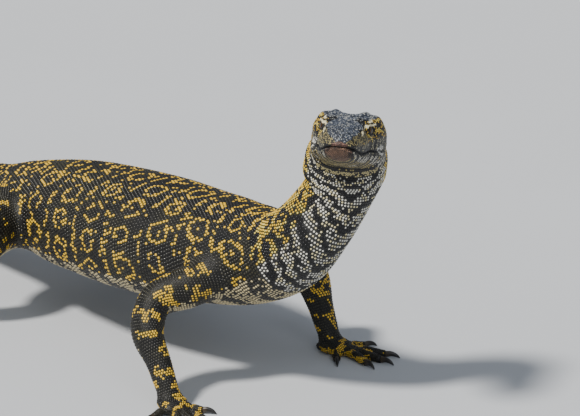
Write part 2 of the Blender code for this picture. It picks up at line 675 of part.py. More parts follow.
def main():
    clear_scene()
    body = Body()
    head, eyes = make_head(body)
    trunk = make_trunk(body)
    legs, claws = [], []
    for name, rows, foot in (
        ("front_left", FRONT_LEG, FRONT_FOOT),
        ("front_right", FRONT_LEG, FRONT_FOOT),
        ("hind_left", HIND_LEG, HIND_FOOT),
        ("hind_right", HIND_LEG, HIND_FOOT),
    ):
        limb, horn = make_leg(body, name, rows, foot)
        legs += limb
        claws += horn
    place(head + legs, material("skin_dark", SKIN_DARK, 0.55))
    place(trunk, material("skin_back", SKIN_BACK, 0.55))
    place(eyes, material("eye", EYE_DARK, 0.08))
    place(claws, material("horn", HORN, 0.35))


main()
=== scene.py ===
"""Looks of a life-size water monitor lizard: one skin, its scales, the eyes and the claws.

Lengths are in metres, +Z is up and the animal heads towards -Y. The skin and the rows of scales
are swept along the same middle lines and sections as the solids that they stand for.
"""

import math

import bmesh
import bpy
import numpy as np
from mathutils import Matrix, Vector
from mathutils.bvhtree import BVHTree
from mathutils.kdtree import KDTree


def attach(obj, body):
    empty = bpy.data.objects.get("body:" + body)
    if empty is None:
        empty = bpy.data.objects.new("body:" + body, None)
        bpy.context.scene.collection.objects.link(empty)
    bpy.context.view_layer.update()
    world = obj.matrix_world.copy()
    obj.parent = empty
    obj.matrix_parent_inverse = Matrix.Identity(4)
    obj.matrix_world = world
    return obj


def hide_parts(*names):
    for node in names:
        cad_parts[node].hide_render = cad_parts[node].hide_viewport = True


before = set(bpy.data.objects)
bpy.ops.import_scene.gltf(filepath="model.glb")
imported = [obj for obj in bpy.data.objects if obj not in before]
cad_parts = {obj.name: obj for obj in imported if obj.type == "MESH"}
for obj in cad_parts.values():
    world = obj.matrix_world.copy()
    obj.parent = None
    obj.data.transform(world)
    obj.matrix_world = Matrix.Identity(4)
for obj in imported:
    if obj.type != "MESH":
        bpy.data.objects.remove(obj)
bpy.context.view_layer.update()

MM = 0.001
GAP = 0.3 * MM
ROW_SHIFT = Vector((-0.0125, -0.5735, 0.0))

# The picture: the way to the camera, the height of the middle of the view and its width
VIEW_AZIMUTH, VIEW_ELEVATION = math.radians(-40.0), math.radians(18.0)
VIEW_DISTANCE, LENS, SENSOR = 5.0, 400.0, 36.0
VIEW_MIDDLE = Vector((-20.0, 0.0, 155.0)) * MM + ROW_SHIFT
VIEW_OFFSET = (-27.1 * MM, 20.9 * MM)

# Pose of the head: its yaw from -Y towards -X, its pitch above the horizon, and its roll
HEAD_YAW = math.radians(46.0)
HEAD_PITCH = math.radians(13.0)
HEAD_ROLL = math.radians(-4.0)
SNOUT_TIP = Vector((-56.9, -60.1, 248.8)) * MM
HEAD_STRAIGHT = 70.0 * MM
MOUTH_CORNER = 82.0 * MM
LIP_GROOVE = 0.9 * MM
TIP_ROUND = 9.0 * MM
TIP_ROUND_TOP = 6.0 * MM
CHIN_SET_BACK = 1.6 * MM

# Head sections: distance from the snout tip, half width, top, mouth line, underside, two powers
HEAD_SECTIONS = (
    (0.0, 10.5, 7.6, 0.0, -8.2, 2.2, 2.2),
    (8.0, 13.2, 10.6, -2.8, -10.6, 2.4, 2.2),
    (14.0, 15.0, 12.6, -4.6, -12.4, 2.6, 2.2),
    (25.0, 17.8, 15.2, -5.6, -15.2, 2.8, 2.2),
    (36.0, 19.4, 17.4, -5.0, -17.2, 3.0, 2.2),
    (46.0, 20.4, 18.8, -4.6, -18.6, 3.0, 2.2),
    (58.0, 25.0, 19.6, -5.2, -20.2, 3.6, 2.2),
    (70.0, 27.8, 20.2, -6.0, -21.6, 4.2, 2.2),
    (82.0, 29.0, 20.4, -5.6, -22.6, 4.2, 2.2),
    (96.0, 29.6, 20.4, -3.5, -23.6, 3.2, 2.2),
)

# Neck and trunk sections, head to vent: centre, dorsal direction, half width, height above
# the centre, depth below it, and the two powers
TRUNK_SECTIONS = (
    ((9.0, 8.0, 211.0), (0.55, 0.62, 0.80), 32.0, 22.0, 27.0, 2.4, 2.2),
    ((10.6, 19.4, 182.0), (0.42, 0.80, 0.68), 27.6, 23.0, 28.0, 2.2, 2.1),
    ((2.0, 34.6, 155.0), (0.28, 0.90, 0.60), 28.0, 25.5, 33.0, 2.2, 2.1),
    ((0.0, 67.0, 126.0), (0.05, 0.50, 0.80), 34.0, 28.0, 37.0, 2.2, 2.1),
    ((0.0, 114.0, 108.0), (0.0, 0.15, 1.0), 43.0, 38.0, 42.0, 2.2, 2.2),
    ((0.0, 158.0, 101.0), (0.0, 0.05, 1.0), 51.0, 42.0, 44.0, 2.2, 2.3),
    ((0.0, 240.0, 94.0), (0.0, 0.0, 1.0), 60.0, 44.0, 47.0, 2.2, 2.4),
    ((0.0, 322.0, 88.0), (0.0, 0.0, 1.0), 54.0, 42.0, 44.0, 2.2, 2.4),
    ((0.0, 388.0, 80.0), (0.0, 0.0, 1.0), 40.0, 36.0, 36.0, 2.1, 2.2),
    ((0.0, 430.0, 73.0), (0.0, 0.0, 1.0), 29.0, 30.0, 27.0, 1.9, 2.2),
)

TAIL_LENGTH = 0.86
TAIL_STATIONS = 12
TAIL_SWING = math.radians(34.0)
TAIL_WAVE = 0.92
TAIL_DROP = 0.20
TAIL_HALF_WIDTH = 26.0 * MM
TAIL_HALF_HEIGHT = 27.0 * MM
TAIL_TIP = 0.9 * MM
KEEL_POWER = 1.35
FLOOR_SINK = 1.0 * MM
HEAD_END, NECK_END, VENT = 0.100, 0.218, 0.583
THROAT_FOLDS = ((0.084, 1.3 * MM, 3.2 * MM), (0.101, 1.1 * MM, 3.0 * MM), (0.124, 0.9 * MM, 3.4 * MM))

# Features of the head, in its own frame: back from the snout tip, out from the middle, up
EYE_PLACE = (46.0, 14.4, 9.8)
EYE_RADIUS = 6.0 * MM
EYE_FACING = (0.26, 0.90, 0.28)
EYE_BULGE = 0.035
EYE_DENT = 2.0 * MM
EYE_NEAR = 11.0 * MM
LID_THICK = 1.0 * MM
LID_TILT = 0.10
EYE_OPENING = (4.5 * MM, 3.3 * MM)
LID_ROWS = (0.55, 1.55, 2.6, 3.7)
NOSTRIL_PLACE, NOSTRIL_OPENING = (23.5, 13.8, 10.9), (2.0 * MM, 1.3 * MM, 2.0 * MM)
EAR_PLACE, EAR_OPENING = (91.0, 29.0, 2.0), (2.8 * MM, 4.3 * MM, 3.0 * MM)
CHIN_PLACE, NOSE_PLACE = (3.0, 0.0, -8.5), (2.0, 0.0, 1.2)

# Brow, ridge, temple, crest and nape: height, place and reach along the head, turn from the top
# and reach round it
CROWN_FORMS = (
    (1.5, 47.0, 10.0, 0.86, 0.26),
    (0.8, 30.0, 11.0, 0.80, 0.22),
    (2.4, 78.0, 15.0, 0.60, 0.38),
    (2.9, 82.0, 16.0, 0.15, 0.11),
    (1.0, 88.0, 18.0, 0.0, 0.09),
)
# Cheek behind the jaw and fold along the neck: height, place and reach along
JOWL = (3.4 * MM, 124 * MM, 11 * MM)
NECK_FOLD = (1.6 * MM, 150 * MM, 34 * MM)
# Slack skin of the flank and shoulder: depth, place and reach along, turn from the side and reach
SLACK_SKIN = ((0.8 * MM, 0.375, 0.09, 0.12, 0.42), (0.7 * MM, 0.215, 0.03, 0.1, 0.5))

FRONT_LEG = (
    ((20.0, 114.0, 98.0), (0.0, -0.3, 1.0), 20.0, 23.0),
    ((52.0, 126.0, 89.0), (0.1, -0.4, 1.0), 17.0, 19.0),
    ((80.0, 143.0, 76.0), (0.4, -0.6, 0.7), 14.0, 16.0),
    ((91.0, 141.0, 58.0), (0.3, -1.0, 0.3), 13.0, 15.0),
    ((92.0, 128.0, 34.0), (0.1, -1.0, 0.3), 9.8, 10.8),
    ((93.0, 116.0, 10.0), (0.0, -1.0, 0.3), 9.0, 8.4),
)
HIND_LEG = (
    ((14.0, 388.0, 80.0), (0.0, 0.2, 1.0), 27.0, 29.0),
    ((50.0, 370.0, 79.0), (0.1, 0.1, 1.0), 23.5, 26.0),
    ((80.0, 353.0, 72.0), (0.5, -0.3, 0.9), 17.5, 20.0),
    ((93.0, 359.0, 55.0), (0.6, -0.8, 0.4), 14.5, 17.5),
    ((98.0, 378.0, 34.0), (0.5, -0.8, 0.3), 10.5, 12.5),
    ((102.0, 392.0, 10.0), (0.4, -0.8, 0.3), 9.2, 9.6),
)
FRONT_FOOT = {
    "turn": math.radians(14.0),
    "palm": (9.0, 17.0, 12.5, 8.2),
    "toes": ((-52, 17, 3.7), (-20, 26, 3.9), (2, 30, 4.0), (24, 28, 3.9), (62, 19, 3.6)),
}
HIND_FOOT = {
    "turn": math.radians(20.0),
    "palm": (11.0, 26.0, 13.5, 8.6),
    "toes": ((-44, 18, 3.9), (-18, 31, 4.1), (0, 42, 4.2), (18, 50, 4.2), (66, 30, 3.9)),
}
LEGS = {
    "front_left": (FRONT_LEG, FRONT_FOOT, 10.0),
    "front_right": (FRONT_LEG, FRONT_FOOT, -14.0),
    "hind_left": (HIND_LEG, HIND_FOOT, -12.0),
    "hind_right": (HIND_LEG, HIND_FOOT, 12.0),
}
CLAW_LENGTH = 12.0 * MM
CLAW_ROOT = (1.9 * MM, 2.7 * MM)
CLAW_TIP = 0.35 * MM

# How deep the coat of scales lies on the skin, on the head, on the rest and on the toes
COAT_HEAD, COAT_BODY, COAT_TOE = 0.22 * MM, 0.45 * MM, 0.25 * MM

# Spacing of the scales in mm at distances from the snout tip, then on legs, palms and toes
SPACING_AT = (0, 0.02, 0.06, 0.09, 0.125, 0.2, 0.3, 0.55, 0.8, 1.2, 1.45)
SPACING = (1.05, 1.15, 1.45, 1.8, 2.55, 2.7, 3.1, 3.1, 2.9, 2.3, 1.6)
LEG_SPACING, PALM_SPACING, TOE_SPACING = 2.35 * MM, 1.9 * MM, 1.55 * MM
LID_SPACING, NOSTRIL_SPACING, EAR_SPACING = 1.05 * MM, 0.85 * MM, 1.3 * MM
# Rows of shields along the lips: distance from the line of the mouth, and spacing, in mm
LIP_ROWS = ((0.95, 1.5), (-0.95, 1.5), (2.35, 1.45), (-2.3, 1.45))
# In shares of a scale's spacing: from row to row, what is too close, what is bare, what is filled
ROW_PITCH, TOO_CLOSE, BARE_FROM, FILL_APART = 0.90, 0.66, 0.80, 0.82
FILL_CELL = 0.004

# Kinds of scales, and how far each is drawn out, how much of its place it fills and how high it is
HEAD, NECK, TRUNK, TAIL, LEG, FOOT = range(6)
DRAWN_OUT = np.array([0.98, 1.06, 1.06, 1.16, 1.06, 1.06])
FILLS = np.array([0.96, 0.82, 0.94, 0.94, 0.94, 0.94])
RISES = np.array([0.16, 0.20, 0.20, 0.20, 0.20, 0.20])
# A scale's rings from its rim inwards, as shares of its half size and height, and the top's shift
DOME, DOME_SHIFT = ((1.0, -0.35), (0.70, 0.66)), 0.12

# Parts of the unwrap: its margin and the span within it, the palm's end, the toes' start, step and width
MARGIN, SPAN = 0.01, 0.98
PALM_END, TOE_START, TOE_STEP, TOE_WIDE = 0.45, 0.5, 0.1, 0.085
WHOLE = (MARGIN, MARGIN, 0.99, 0.99)
# Half the size of a dome on the unwrap, and the length that the unwrap stands for
DOME_ON_UNWRAP, UNWRAP_LENGTH = 0.0014, 0.5
# Where the scales of the trunk and of the tail are parted into two pieces
TRUNK_SPLIT, TAIL_SPLIT = 0.40, 0.90

# Rings of the skin along the head (start, end and step in mm), the neck and trunk, and the tail
HEAD_RINGS = ((4.5, 36.0, 0.55), (36.0, 56.0, 0.34), (56.0, 103.0, 0.6))
NECK_RINGS, TAIL_RING_STEP = (0.104, 0.585, 0.0022), 0.0034
# Rings along and sides round a leg, a palm and a toe, and how much finer they are in full quality
LEG_GRID, PALM_GRID, TOE_GRID, FULL_DENSITY = (45, 32), (18, 24), (15, 14), 1.4
# Line of the mouth: depth and reach; swelling of the lips beside it: height, distance and reach
MOUTH_LINE = (0.95 * MM, 0.0, 0.55 * MM)
LIP_SWELL = (0.25 * MM, 2.0 * MM, 1.2 * MM)
# How far a join's rounding reaches at heights above the floor, and where the legs' joins lie
JOIN_HEIGHTS, JOIN_REACH = (0.0, 0.012, 0.03, 0.06), (1.6 * MM, 3.0 * MM, 7 * MM, 16 * MM)
JOINS_BELOW, JOINS_BEHIND = 0.14, -0.53

# Least height above the floor of skin and of scales
SKIN_LIFT, SCALE_LIFT = 0.02 * MM, 0.01 * MM

# One turn, divided finely for measuring outlines, with the place of its top
TURN = 2 * math.pi
TOP = math.pi / 2
ROUND = np.linspace(0, TURN, 257)
QUARTER = 64

# Colours of hide, as linear values
BLACK = (0.008, 0.008, 0.010)
SLATE = (0.048, 0.062, 0.095)
SLATE_SPECK = (0.21, 0.235, 0.285)
SLATE_FLECK = (0.50, 0.51, 0.48)
SNOUT_DARK, SNOUT_OLIVE = (0.030, 0.029, 0.024), (0.36, 0.30, 0.13)
PALE = (0.74, 0.72, 0.63)
PALE_CREAM = (0.68, 0.60, 0.34)
YELLOW = (0.78, 0.48, 0.035)
LEMON = (0.84, 0.66, 0.14)
BRIGHT = (0.90, 0.82, 0.52)
CREAM = (0.60, 0.50, 0.28)
OLIVE = (0.036, 0.033, 0.018)
BROWN = (0.19, 0.105, 0.065)
NOSE_BROWN = (0.21, 0.105, 0.075)
GREY = (0.085, 0.080, 0.062)
# The lips' corner colour is pale scales brightened by a painted wet highlight
LIP_BAR, LIP_PALE, LIP_CORNER_PALE_AND_HIGHLIGHT = (0.014, 0.014, 0.014), (0.48, 0.44, 0.29), (0.80, 0.79, 0.72)
JAW_OLIVE, JAW_PALE, FOLD_GOLD = (0.36, 0.29, 0.11), (0.60, 0.57, 0.46), (0.50, 0.42, 0.20)
BELLY_BAR, SOLE_BAR = (0.035, 0.033, 0.028), (0.06, 0.055, 0.045)
# The red above which a colour is that of a bright stroke
LINE_RED = 0.88
# How pale the underside of the feet is beside the legs'
FOOT_PALENESS = 1 - 0.7

# Where the slate crown ends at the side: distance from the snout tip, and turn from the top
CROWN_EDGE = (np.array([0, 28, 46, 66, 100]) * MM, [0.25, 0.235, 0.180, 0.190, 0.25])
# Yellow lines on the temple: turn from the top, and how far each swings
TEMPLE_LINES = ((0.325, 0.017), (0.385, 0.014))
# The lips' share of the turn from the top, and the pale patch at the corner of the mouth: pale scales with
# a painted wet highlight
LIP_TOP, LIP_END = 0.445, 0.58
CORNER_AT, CORNER_HALF = 65 * MM, 9 * MM
# Yellow rings of the back: distance from row to row and in a row, their size and how it varies
RING_ROWS, RING_STEP, RING_SIZE, RING_VARIES = 40 * MM, 27 * MM, 8.3 * MM, 1.5 * MM

# Marks on each side of the head: colour, half width, and points, each given by how far back
# from the snout tip it is and how far round from the line of the back (0) to the throat's (1)
HEAD_MARKS = (
    (BRIGHT, 0.95, ((37.0, 0.275), (48.0, 0.235), (58.0, 0.192))),
    (BRIGHT, 0.85, ((42.0, 0.298), (50.0, 0.285), (59.0, 0.268))),
    (LEMON, 0.80, ((62.0, 0.235), (72.0, 0.228))),
    (LEMON, 0.80, ((48.8, 0.345), (53.0, 0.378))),
    (LEMON, 0.85, ((55.0, 0.360), (60.0, 0.338), (64.0, 0.375), (68.0, 0.405))),
    (LEMON, 0.75, ((38.0, 0.362), (43.5, 0.405), (49.0, 0.445))),
)
MARKS = []


def away_at(azimuth, elevation):
    """The way to what stands at an azimuth, counted from -Y, and at an elevation."""
    level = math.cos(elevation)
    return Vector((math.sin(azimuth) * level, -math.cos(azimuth) * level, math.sin(elevation)))


def add_object(name, data):
    made = bpy.data.objects.new(name, data)
    bpy.context.scene.collection.objects.link(made)
    return made


def make_camera():
    back = away_at(VIEW_AZIMUTH, VIEW_ELEVATION)
    right = Vector((math.cos(VIEW_AZIMUTH), math.sin(VIEW_AZIMUTH), 0.0))
    above = back.cross(right)
    data = bpy.data.cameras.new("camera")
    data.lens, data.sensor_width = LENS, SENSOR
    data.clip_start, data.clip_end = 0.1, 200.0
    camera = add_object("camera", data)
    middle = VIEW_MIDDLE + right * VIEW_OFFSET[0] + above * VIEW_OFFSET[1]
    camera.matrix_world = Matrix((right, above, back)).transposed().to_4x4()
    camera.location = middle + back * VIEW_DISTANCE
    bpy.context.scene.camera = camera


make_camera()


# Curves and sections


def hermite(t, size, start, start_slope, end, end_slope):
    """A cubic between two values with the given slopes, over a span of the given size."""
    return (
        (2 * t**3 - 3 * t**2 + 1) * start
        + (t**3 - 2 * t**2 + t) * size * start_slope
        + (3 * t**2 - 2 * t**3) * end
        + (t**3 - t**2) * size * end_slope
    )


def running(steps):
    """Lengths from the start to the end of each step, along the last axis."""
    return np.concatenate([np.zeros_like(steps[..., :1]), np.cumsum(steps, axis=-1)], axis=-1)


def run_along(points):
    """Distance along a row of points to each of them."""
    return running(np.linalg.norm(np.diff(points, axis=0), axis=1))


def curve_through(points, samples, slopes_at=None):
    """Points evenly spaced along a smooth curve, and the arc length at each of the given points."""
    knots = np.array([tuple(p) for p in points], float)
    at = run_along(knots)
    chord = np.linalg.norm(np.diff(knots, axis=0), axis=1)
    slope = np.gradient(knots, at, axis=0)
    for index, direction in (slopes_at or {}).items():
        slope[index] = direction
    fine_at = np.linspace(0.0, at[-1], samples)
    span = np.clip(np.searchsorted(at, fine_at, side="right") - 1, 0, len(chord) - 1)
    t = ((fine_at - at[span]) / chord[span])[:, None]
    fine = hermite(t, chord[span][:, None], knots[span], slope[span], knots[span + 1], slope[span + 1])
    arc = run_along(fine)
    return fine, arc, np.interp(at, fine_at, arc)


def smooth_table(at, rows, where):
    """Monotone cubic interpolation of each column of rows, so that sizes never overshoot."""
    at, rows = np.asarray(at, float), np.asarray(rows, float)
    rise = np.diff(rows, axis=0) / np.diff(at)[:, None]
    slope = np.zeros_like(rows)
    same = rise[:-1] * rise[1:] > 0
    safe = np.where(same, rise[:-1] + rise[1:], 1.0)
    slope[1:-1] = np.where(same, 2 * rise[:-1] * rise[1:] / safe, 0.0)
    slope[0], slope[-1] = rise[0], rise[-1]
    where = np.clip(where, at[0], at[-1])
    span = np.clip(np.searchsorted(at, where, side="right") - 1, 0, len(at) - 2)
    size = np.diff(at)[span][:, None]
    t = (where - at[span])[:, None] / size
    return hermite(t, size, rows[span], slope[span], rows[span + 1], slope[span + 1])


def interp3(where, at, values):
    """Each of three columns of values, given at some distances, at others."""
    return np.stack([np.interp(where, at, values[:, k]) for k in range(3)], axis=1)


def unit(vectors):
    return vectors / np.maximum(np.linalg.norm(vectors, axis=-1, keepdims=True), 1e-12)


def square_to(axis, vectors):
    """Unit vectors along what of each vector is square to an axis."""
    return unit(vectors - (vectors * axis).sum(1)[:, None] * axis)


def spread(places, *steps):
    """Points round each place, from pairs of amounts (one for each point) and a direction."""
    points = places[:, None]
    for amount, direction in steps:
        points = points + amount[..., None] * direction[:, None]
    return points


def even_turns(count, shift=0):
    """Angles that part a turn evenly, moved on by a share of a step."""
    return (np.arange(count) + shift) * TURN / count


def signed_power(value, power):
    return np.sign(value) * np.abs(value) ** power


def bump(value, centre, width):
    """1 at the centre, falling off smoothly on both sides."""
    return np.exp(-(((value - centre) / width) ** 2))


def ramp(value, low, high):
    """From 0 to 1 between two values, smoothly."""
    t = np.clip((value - low) / (high - low), 0, 1)
    return t * t * (3 - 2 * t)


def turn_from(angle, middle):
    """How far angles lie from a middle one, either way round."""
    return np.abs(np.angle(np.exp(1j * (angle - middle))))


def sideways(out, amount, soft):
    """An amount away from the middle on both sides, fading within a soft distance of it."""
    return np.sign(out) * amount * np.clip(np.abs(out) / soft, 0, 1)


def head_axes():
    """Forward, left and up of the head."""
    level = Vector((-math.sin(HEAD_YAW), -math.cos(HEAD_YAW), 0.0))
    forward = level * math.cos(HEAD_PITCH) + Vector((0, 0, math.sin(HEAD_PITCH)))
    left = Vector((0, 0, 1)).cross(forward).normalized()
    up = forward.cross(left)
    turn = Matrix.Rotation(HEAD_ROLL, 3, forward)
    return forward, turn @ left, turn @ up


def head_arrays():
    """The same directions as arrays."""
    return tuple(np.array(v) for v in head_axes())


def in_head(back, out, up):
    """A point of the head from its distances back, to the animal's left, and up."""
    forward, left, above = head_axes()
    return SNOUT_TIP + ROW_SHIFT - forward * back + left * out + above * up


def head_place(place, side=1):
    """A feature's centre, from its distances in mm, on one side of the head."""
    back, out, up = place
    return np.array(in_head(back * MM, side * out * MM, up * MM))


def tail_sections(start):
    """Points, dorsal directions and sizes of the tail, which curves and comes down to the floor."""
    rows = []
    place, before = Vector(start), 0.0
    for i in range(1, TAIL_STATIONS + 1):
        share = i / TAIL_STATIONS
        along = share * TAIL_LENGTH
        turn = TAIL_SWING * math.sin(TURN * (along + before) / 2 / TAIL_WAVE)
        place = place + Vector((math.sin(turn), math.cos(turn), 0.0)) * (along - before)
        before = along
        half = TAIL_TIP + TAIL_HALF_HEIGHT * (1 - share) ** 1.05
        wide = TAIL_TIP + TAIL_HALF_WIDTH * (1 - share) ** 1.25
        below = half * 0.85
        drop = min(1.0, along / TAIL_DROP)
        ease = drop * drop * (3 - 2 * drop)
        place.z = start[2] * (1 - ease) + (below - FLOOR_SINK * min(1.0, below / (4 * MM))) * ease
        power = KEEL_POWER + 0.4 * (1 - share)
        rows.append((Vector(place), (0, 0, 1), wide, half * 1.15, below, power, 2.1))
    return rows


class Body:
    """The swept tube from the snout tip to the tail tip."""

    def __init__(self):
        forward, _, up = head_axes()
        straight = [SNOUT_TIP, SNOUT_TIP - forward * HEAD_STRAIGHT / 2, SNOUT_TIP - forward * HEAD_STRAIGHT]
        trunk = [(Vector(r[0]) * MM, r[1], *(v * MM for v in r[2:5]), *r[5:]) for r in TRUNK_SECTIONS]
        rows = trunk + tail_sections(trunk[-1][0])
        points = [p + ROW_SHIFT for p in straight + [r[0] for r in rows]]
        self.fine, self.arc, at = curve_through(points, 6000, {2: tuple(-forward)})
        self.length = self.arc[-1]
        self.hint_at = at
        self.hints = np.array([tuple(up)] * 3 + [tuple(Vector(r[1]).normalized()) for r in rows])
        head_rows = [
            (half * MM, (top - mouth) * MM, (mouth - under) * MM, *powers, mouth * MM)
            for _, half, top, mouth, under, *powers in HEAD_SECTIONS
        ]
        self.size_at = np.array([r[0] * MM for r in HEAD_SECTIONS] + list(at[3:]))
        self.sizes = np.array(head_rows + [(r[2], r[3], r[4], r[5], r[6], 0.0) for r in rows])

    def point(self, where):
        first = unit(self.fine[1] - self.fine[0])
        last = unit(self.fine[-1] - self.fine[-2])
        ahead = np.minimum(where, 0.0)[:, None]
        behind = np.maximum(where - self.length, 0.0)[:, None]
        return interp3(where, self.arc, self.fine) + ahead * first + behind * last

    def frames(self, where):
        """Centre, tailward, left and dorsal unit vectors at each distance from the snout tip."""
        tangent = unit(self.point(where + 0.5 * MM) - self.point(where - 0.5 * MM))
        hint = smooth_table(self.hint_at, self.hints, where)
        up = square_to(tangent, hint)
        return self.point(where), tangent, np.cross(up, -tangent), up

    def tangents(self, where):
        return self.frames(where)[1]

    def sections(self, where, angles):
        """Offsets to the left and up of each section's outline, inside the solids by the coat's depth."""
        size = smooth_table(self.size_at, self.sizes, where)
        wide, above, below, top_power, bottom_power, middle = (size[:, k : k + 1] for k in range(6))
        s = where[:, None]
        starts = (s / TIP_ROUND, s / TIP_ROUND_TOP, (s - CHIN_SET_BACK) / TIP_ROUND)
        side_round, top_round, chin_round = (
            np.sqrt(np.maximum(1 - (1 - np.clip(t, 0, 1)) ** 2, 0.004)) for t in starts
        )
        cos, sin = np.cos(angles), np.sin(angles)
        power = np.where(sin >= 0, top_power, bottom_power)
        side = wide * np.where(sin >= 0, side_round, np.sqrt(side_round * chin_round))
        out = side * signed_power(cos, 2 / power)
        tall = np.where(sin >= 0, above * top_round, below * chin_round)
        up = middle + tall * signed_power(sin, 2 / power)
        out, up = self.features(s, angles, out, up)
        coat = COAT_HEAD + (COAT_BODY - COAT_HEAD) * ramp(s, 0.06, 0.13)
        far = np.maximum(np.hypot(out, up - middle), 1e-6)
        coat = np.minimum(coat, 0.4 * far)
        return out * (1 - coat / far), up - (up - middle) * coat / far

    def features(self, s, angle, out, up):
        """Lips, brows, the hollow before each eye, temples, nape and the folds of the throat."""
        turned = turn_from(angle, 0)
        from_side = np.minimum(turned, math.pi - turned)
        from_top, from_below = turn_from(angle, TOP), turn_from(angle, -TOP)
        mouth = np.clip((MOUTH_CORNER + 4 * MM - s) / (8 * MM), 0, 1)
        groove = LIP_GROOVE * mouth * bump(from_side, 0.0, 0.13)
        lip = 0.7 * MM * mouth * bump(from_side, 0.33, 0.16) * np.clip(s / (12 * MM), 0, 1)
        out = out - sideways(out, groove - lip, 3 * MM)
        brow, ridge, temple, crest, nape = (
            height * MM * bump(s, at * MM, reach * MM) * bump(from_top, turn, wide)
            for height, at, reach, turn, wide in CROWN_FORMS
        )
        up = up + brow + ridge + temple + crest - nape
        dent = EYE_DENT * bump(s, 37.5 * MM, 6 * MM) * bump(from_side, 0.62, 0.34) * (np.sin(angle) > 0)
        jowl = JOWL[0] * bump(s, *JOWL[1:]) * bump(from_side, 0.0, 0.8)
        jowl = jowl * np.clip(np.abs(out) / (12 * MM), 0, 1)
        out = out - np.sign(out) * (dent - jowl)
        out = out + np.sign(out) * (brow + ridge) * 0.5
        lateral = NECK_FOLD[0] * bump(s, *NECK_FOLD[1:]) * bump(from_side, 0.34, 0.11) * (np.sin(angle) < 0)
        waves = 1.6 * np.sin(3 * angle) + 0.8 * np.sin(s / (29 * MM))
        waves = 0.5 + 0.5 * np.sin(TURN * s / (17 * MM) + waves)
        slack = sum(
            depth * waves * bump(s, at, reach) * bump(from_side, turn, wide)
            for depth, at, reach, turn, wide in SLACK_SKIN
        )
        out = out - sideways(out, lateral + slack, 12 * MM)
        for place, depth, length in THROAT_FOLDS:
            fold = depth * bump(s, place, length) * np.clip(1.3 - from_below, 0, 0.5) * 2
            up = up + fold * bump(from_below, 0.0, 1.0)
            out = out - sideways(out, fold * 0.5, 12 * MM)
        return out, up

    def even_angles(self, where, sides):
        """Angles that part each quarter of every section into equal lengths."""
        out, up = self.sections(where, np.broadcast_to(ROUND, (len(where), len(ROUND))))
        steps = np.hypot(np.diff(out, axis=1), np.diff(up, axis=1))
        count = sides // 4
        angles = np.empty((len(where), sides))
        for q in range(4):
            first = q * QUARTER
            turns = ROUND[first : first + QUARTER + 1]
            for i, run in enumerate(running(steps[:, first : first + QUARTER])):
                marks = np.arange(count) * run[-1] / count
                angles[i, q * count : (q + 1) * count] = np.interp(marks, run, turns)
        return angles

    def surface(self, where, angles):
        place, _, left, up = self.frames(where)
        out, rise = self.sections(where, angles)
        points = spread(place, (out, left), (rise, up))
        points[..., 2] = np.maximum(points[..., 2], SKIN_LIFT)
        return points


class Limb:
    """A swept tube along a bent line, elliptical, optionally pressed flat on the floor."""

    def __init__(self, points, hints, radii, slopes_at=None, coat=COAT_BODY, floor=False):
        self.fine, self.arc, self.at = curve_through(points, 600, slopes_at)
        self.length, self.hints, self.floor = self.arc[-1], np.array(hints, float), floor
        self.radii = np.maximum(np.array(radii) - coat, 0.05 * MM)
        self.slopes = np.gradient(self.fine, self.arc, axis=0)

    def tangents(self, where):
        return unit(interp3(where, self.arc, self.slopes))

    def surface(self, where, angles):
        place, tangent = interp3(where, self.arc, self.fine), self.tangents(where)
        hint = smooth_table(self.at, self.hints, where)
        up = square_to(tangent, hint)
        across = np.cross(tangent, up)
        size = smooth_table(self.at, self.radii, where)
        points = spread(place, (size[:, :1] * np.cos(angles), across), (size[:, 1:] * np.sin(angles), up))
        if self.floor:
            points[..., 2] = np.maximum(points[..., 2], SKIN_LIFT)
        return points


def leg_limb(rows, side, step):
    points = [
        Vector((side * x, y + step * share, z)) * MM + ROW_SHIFT
        for ((x, y, z), *_), share in zip(rows, np.linspace(0.0, 1.0, len(rows)))
    ]
    hints = [(side * r[1][0], r[1][1], r[1][2]) for r in rows]
    return Limb(points, hints, [(r[2] * MM, r[3] * MM) for r in rows]), points[-1]


def foot_limbs(ankle, side, foot):
    """The palm and the toes of a foot, and each toe's end, direction and length."""
    behind, ahead, half, high = (v * MM for v in foot["palm"])
    heading = Vector((side * math.sin(foot["turn"]), -math.cos(foot["turn"]), 0.0))
    base = Vector((ankle.x, ankle.y, 0.0))
    path = [
        base + heading * along * share + Vector((0, 0, high * lift))
        for along, share, lift in ((-behind, 1, 0.75), (0, 1, 0.88), (ahead, 0.6, 0.72), (ahead, 1, 0.55))
    ]
    sizes = [(half * a, high * b) for a, b in ((0.62, 0.80), (0.92, 1), (1, 0.82), (0.86, 0.6))]
    palm = Limb(path, [(0, 0, 1)] * 4, sizes, floor=True)
    toes, ends = [], []
    for angle, length, radius in foot["toes"]:
        turn = foot["turn"] + math.radians(angle)
        direction = Vector((side * math.sin(turn), -math.cos(turn), 0.0))
        root = base + heading * ahead * (0.72 if abs(angle) < 40 else 0.30)
        reach, r = half * 0.55, radius * MM
        start = root + direction * reach * 0.2
        end = root + direction * (reach + length * MM)
        knuckle, low = start.lerp(end, 0.55), r * 0.80
        line = [
            Vector((p.x, p.y, z)) for p, z in ((start, high * 0.62), (knuckle, low + 1.6 * MM), (end, low))
        ]
        widths = [(r * 1.15, r * 1.15), (r, r), (r * 0.80, r * 0.82)]
        toes.append(Limb(line, [(0, 0, 1)] * 3, widths, {2: tuple(direction)}, COAT_TOE, True))
        ends.append((line[-1], direction, length))
    return palm, toes, ends


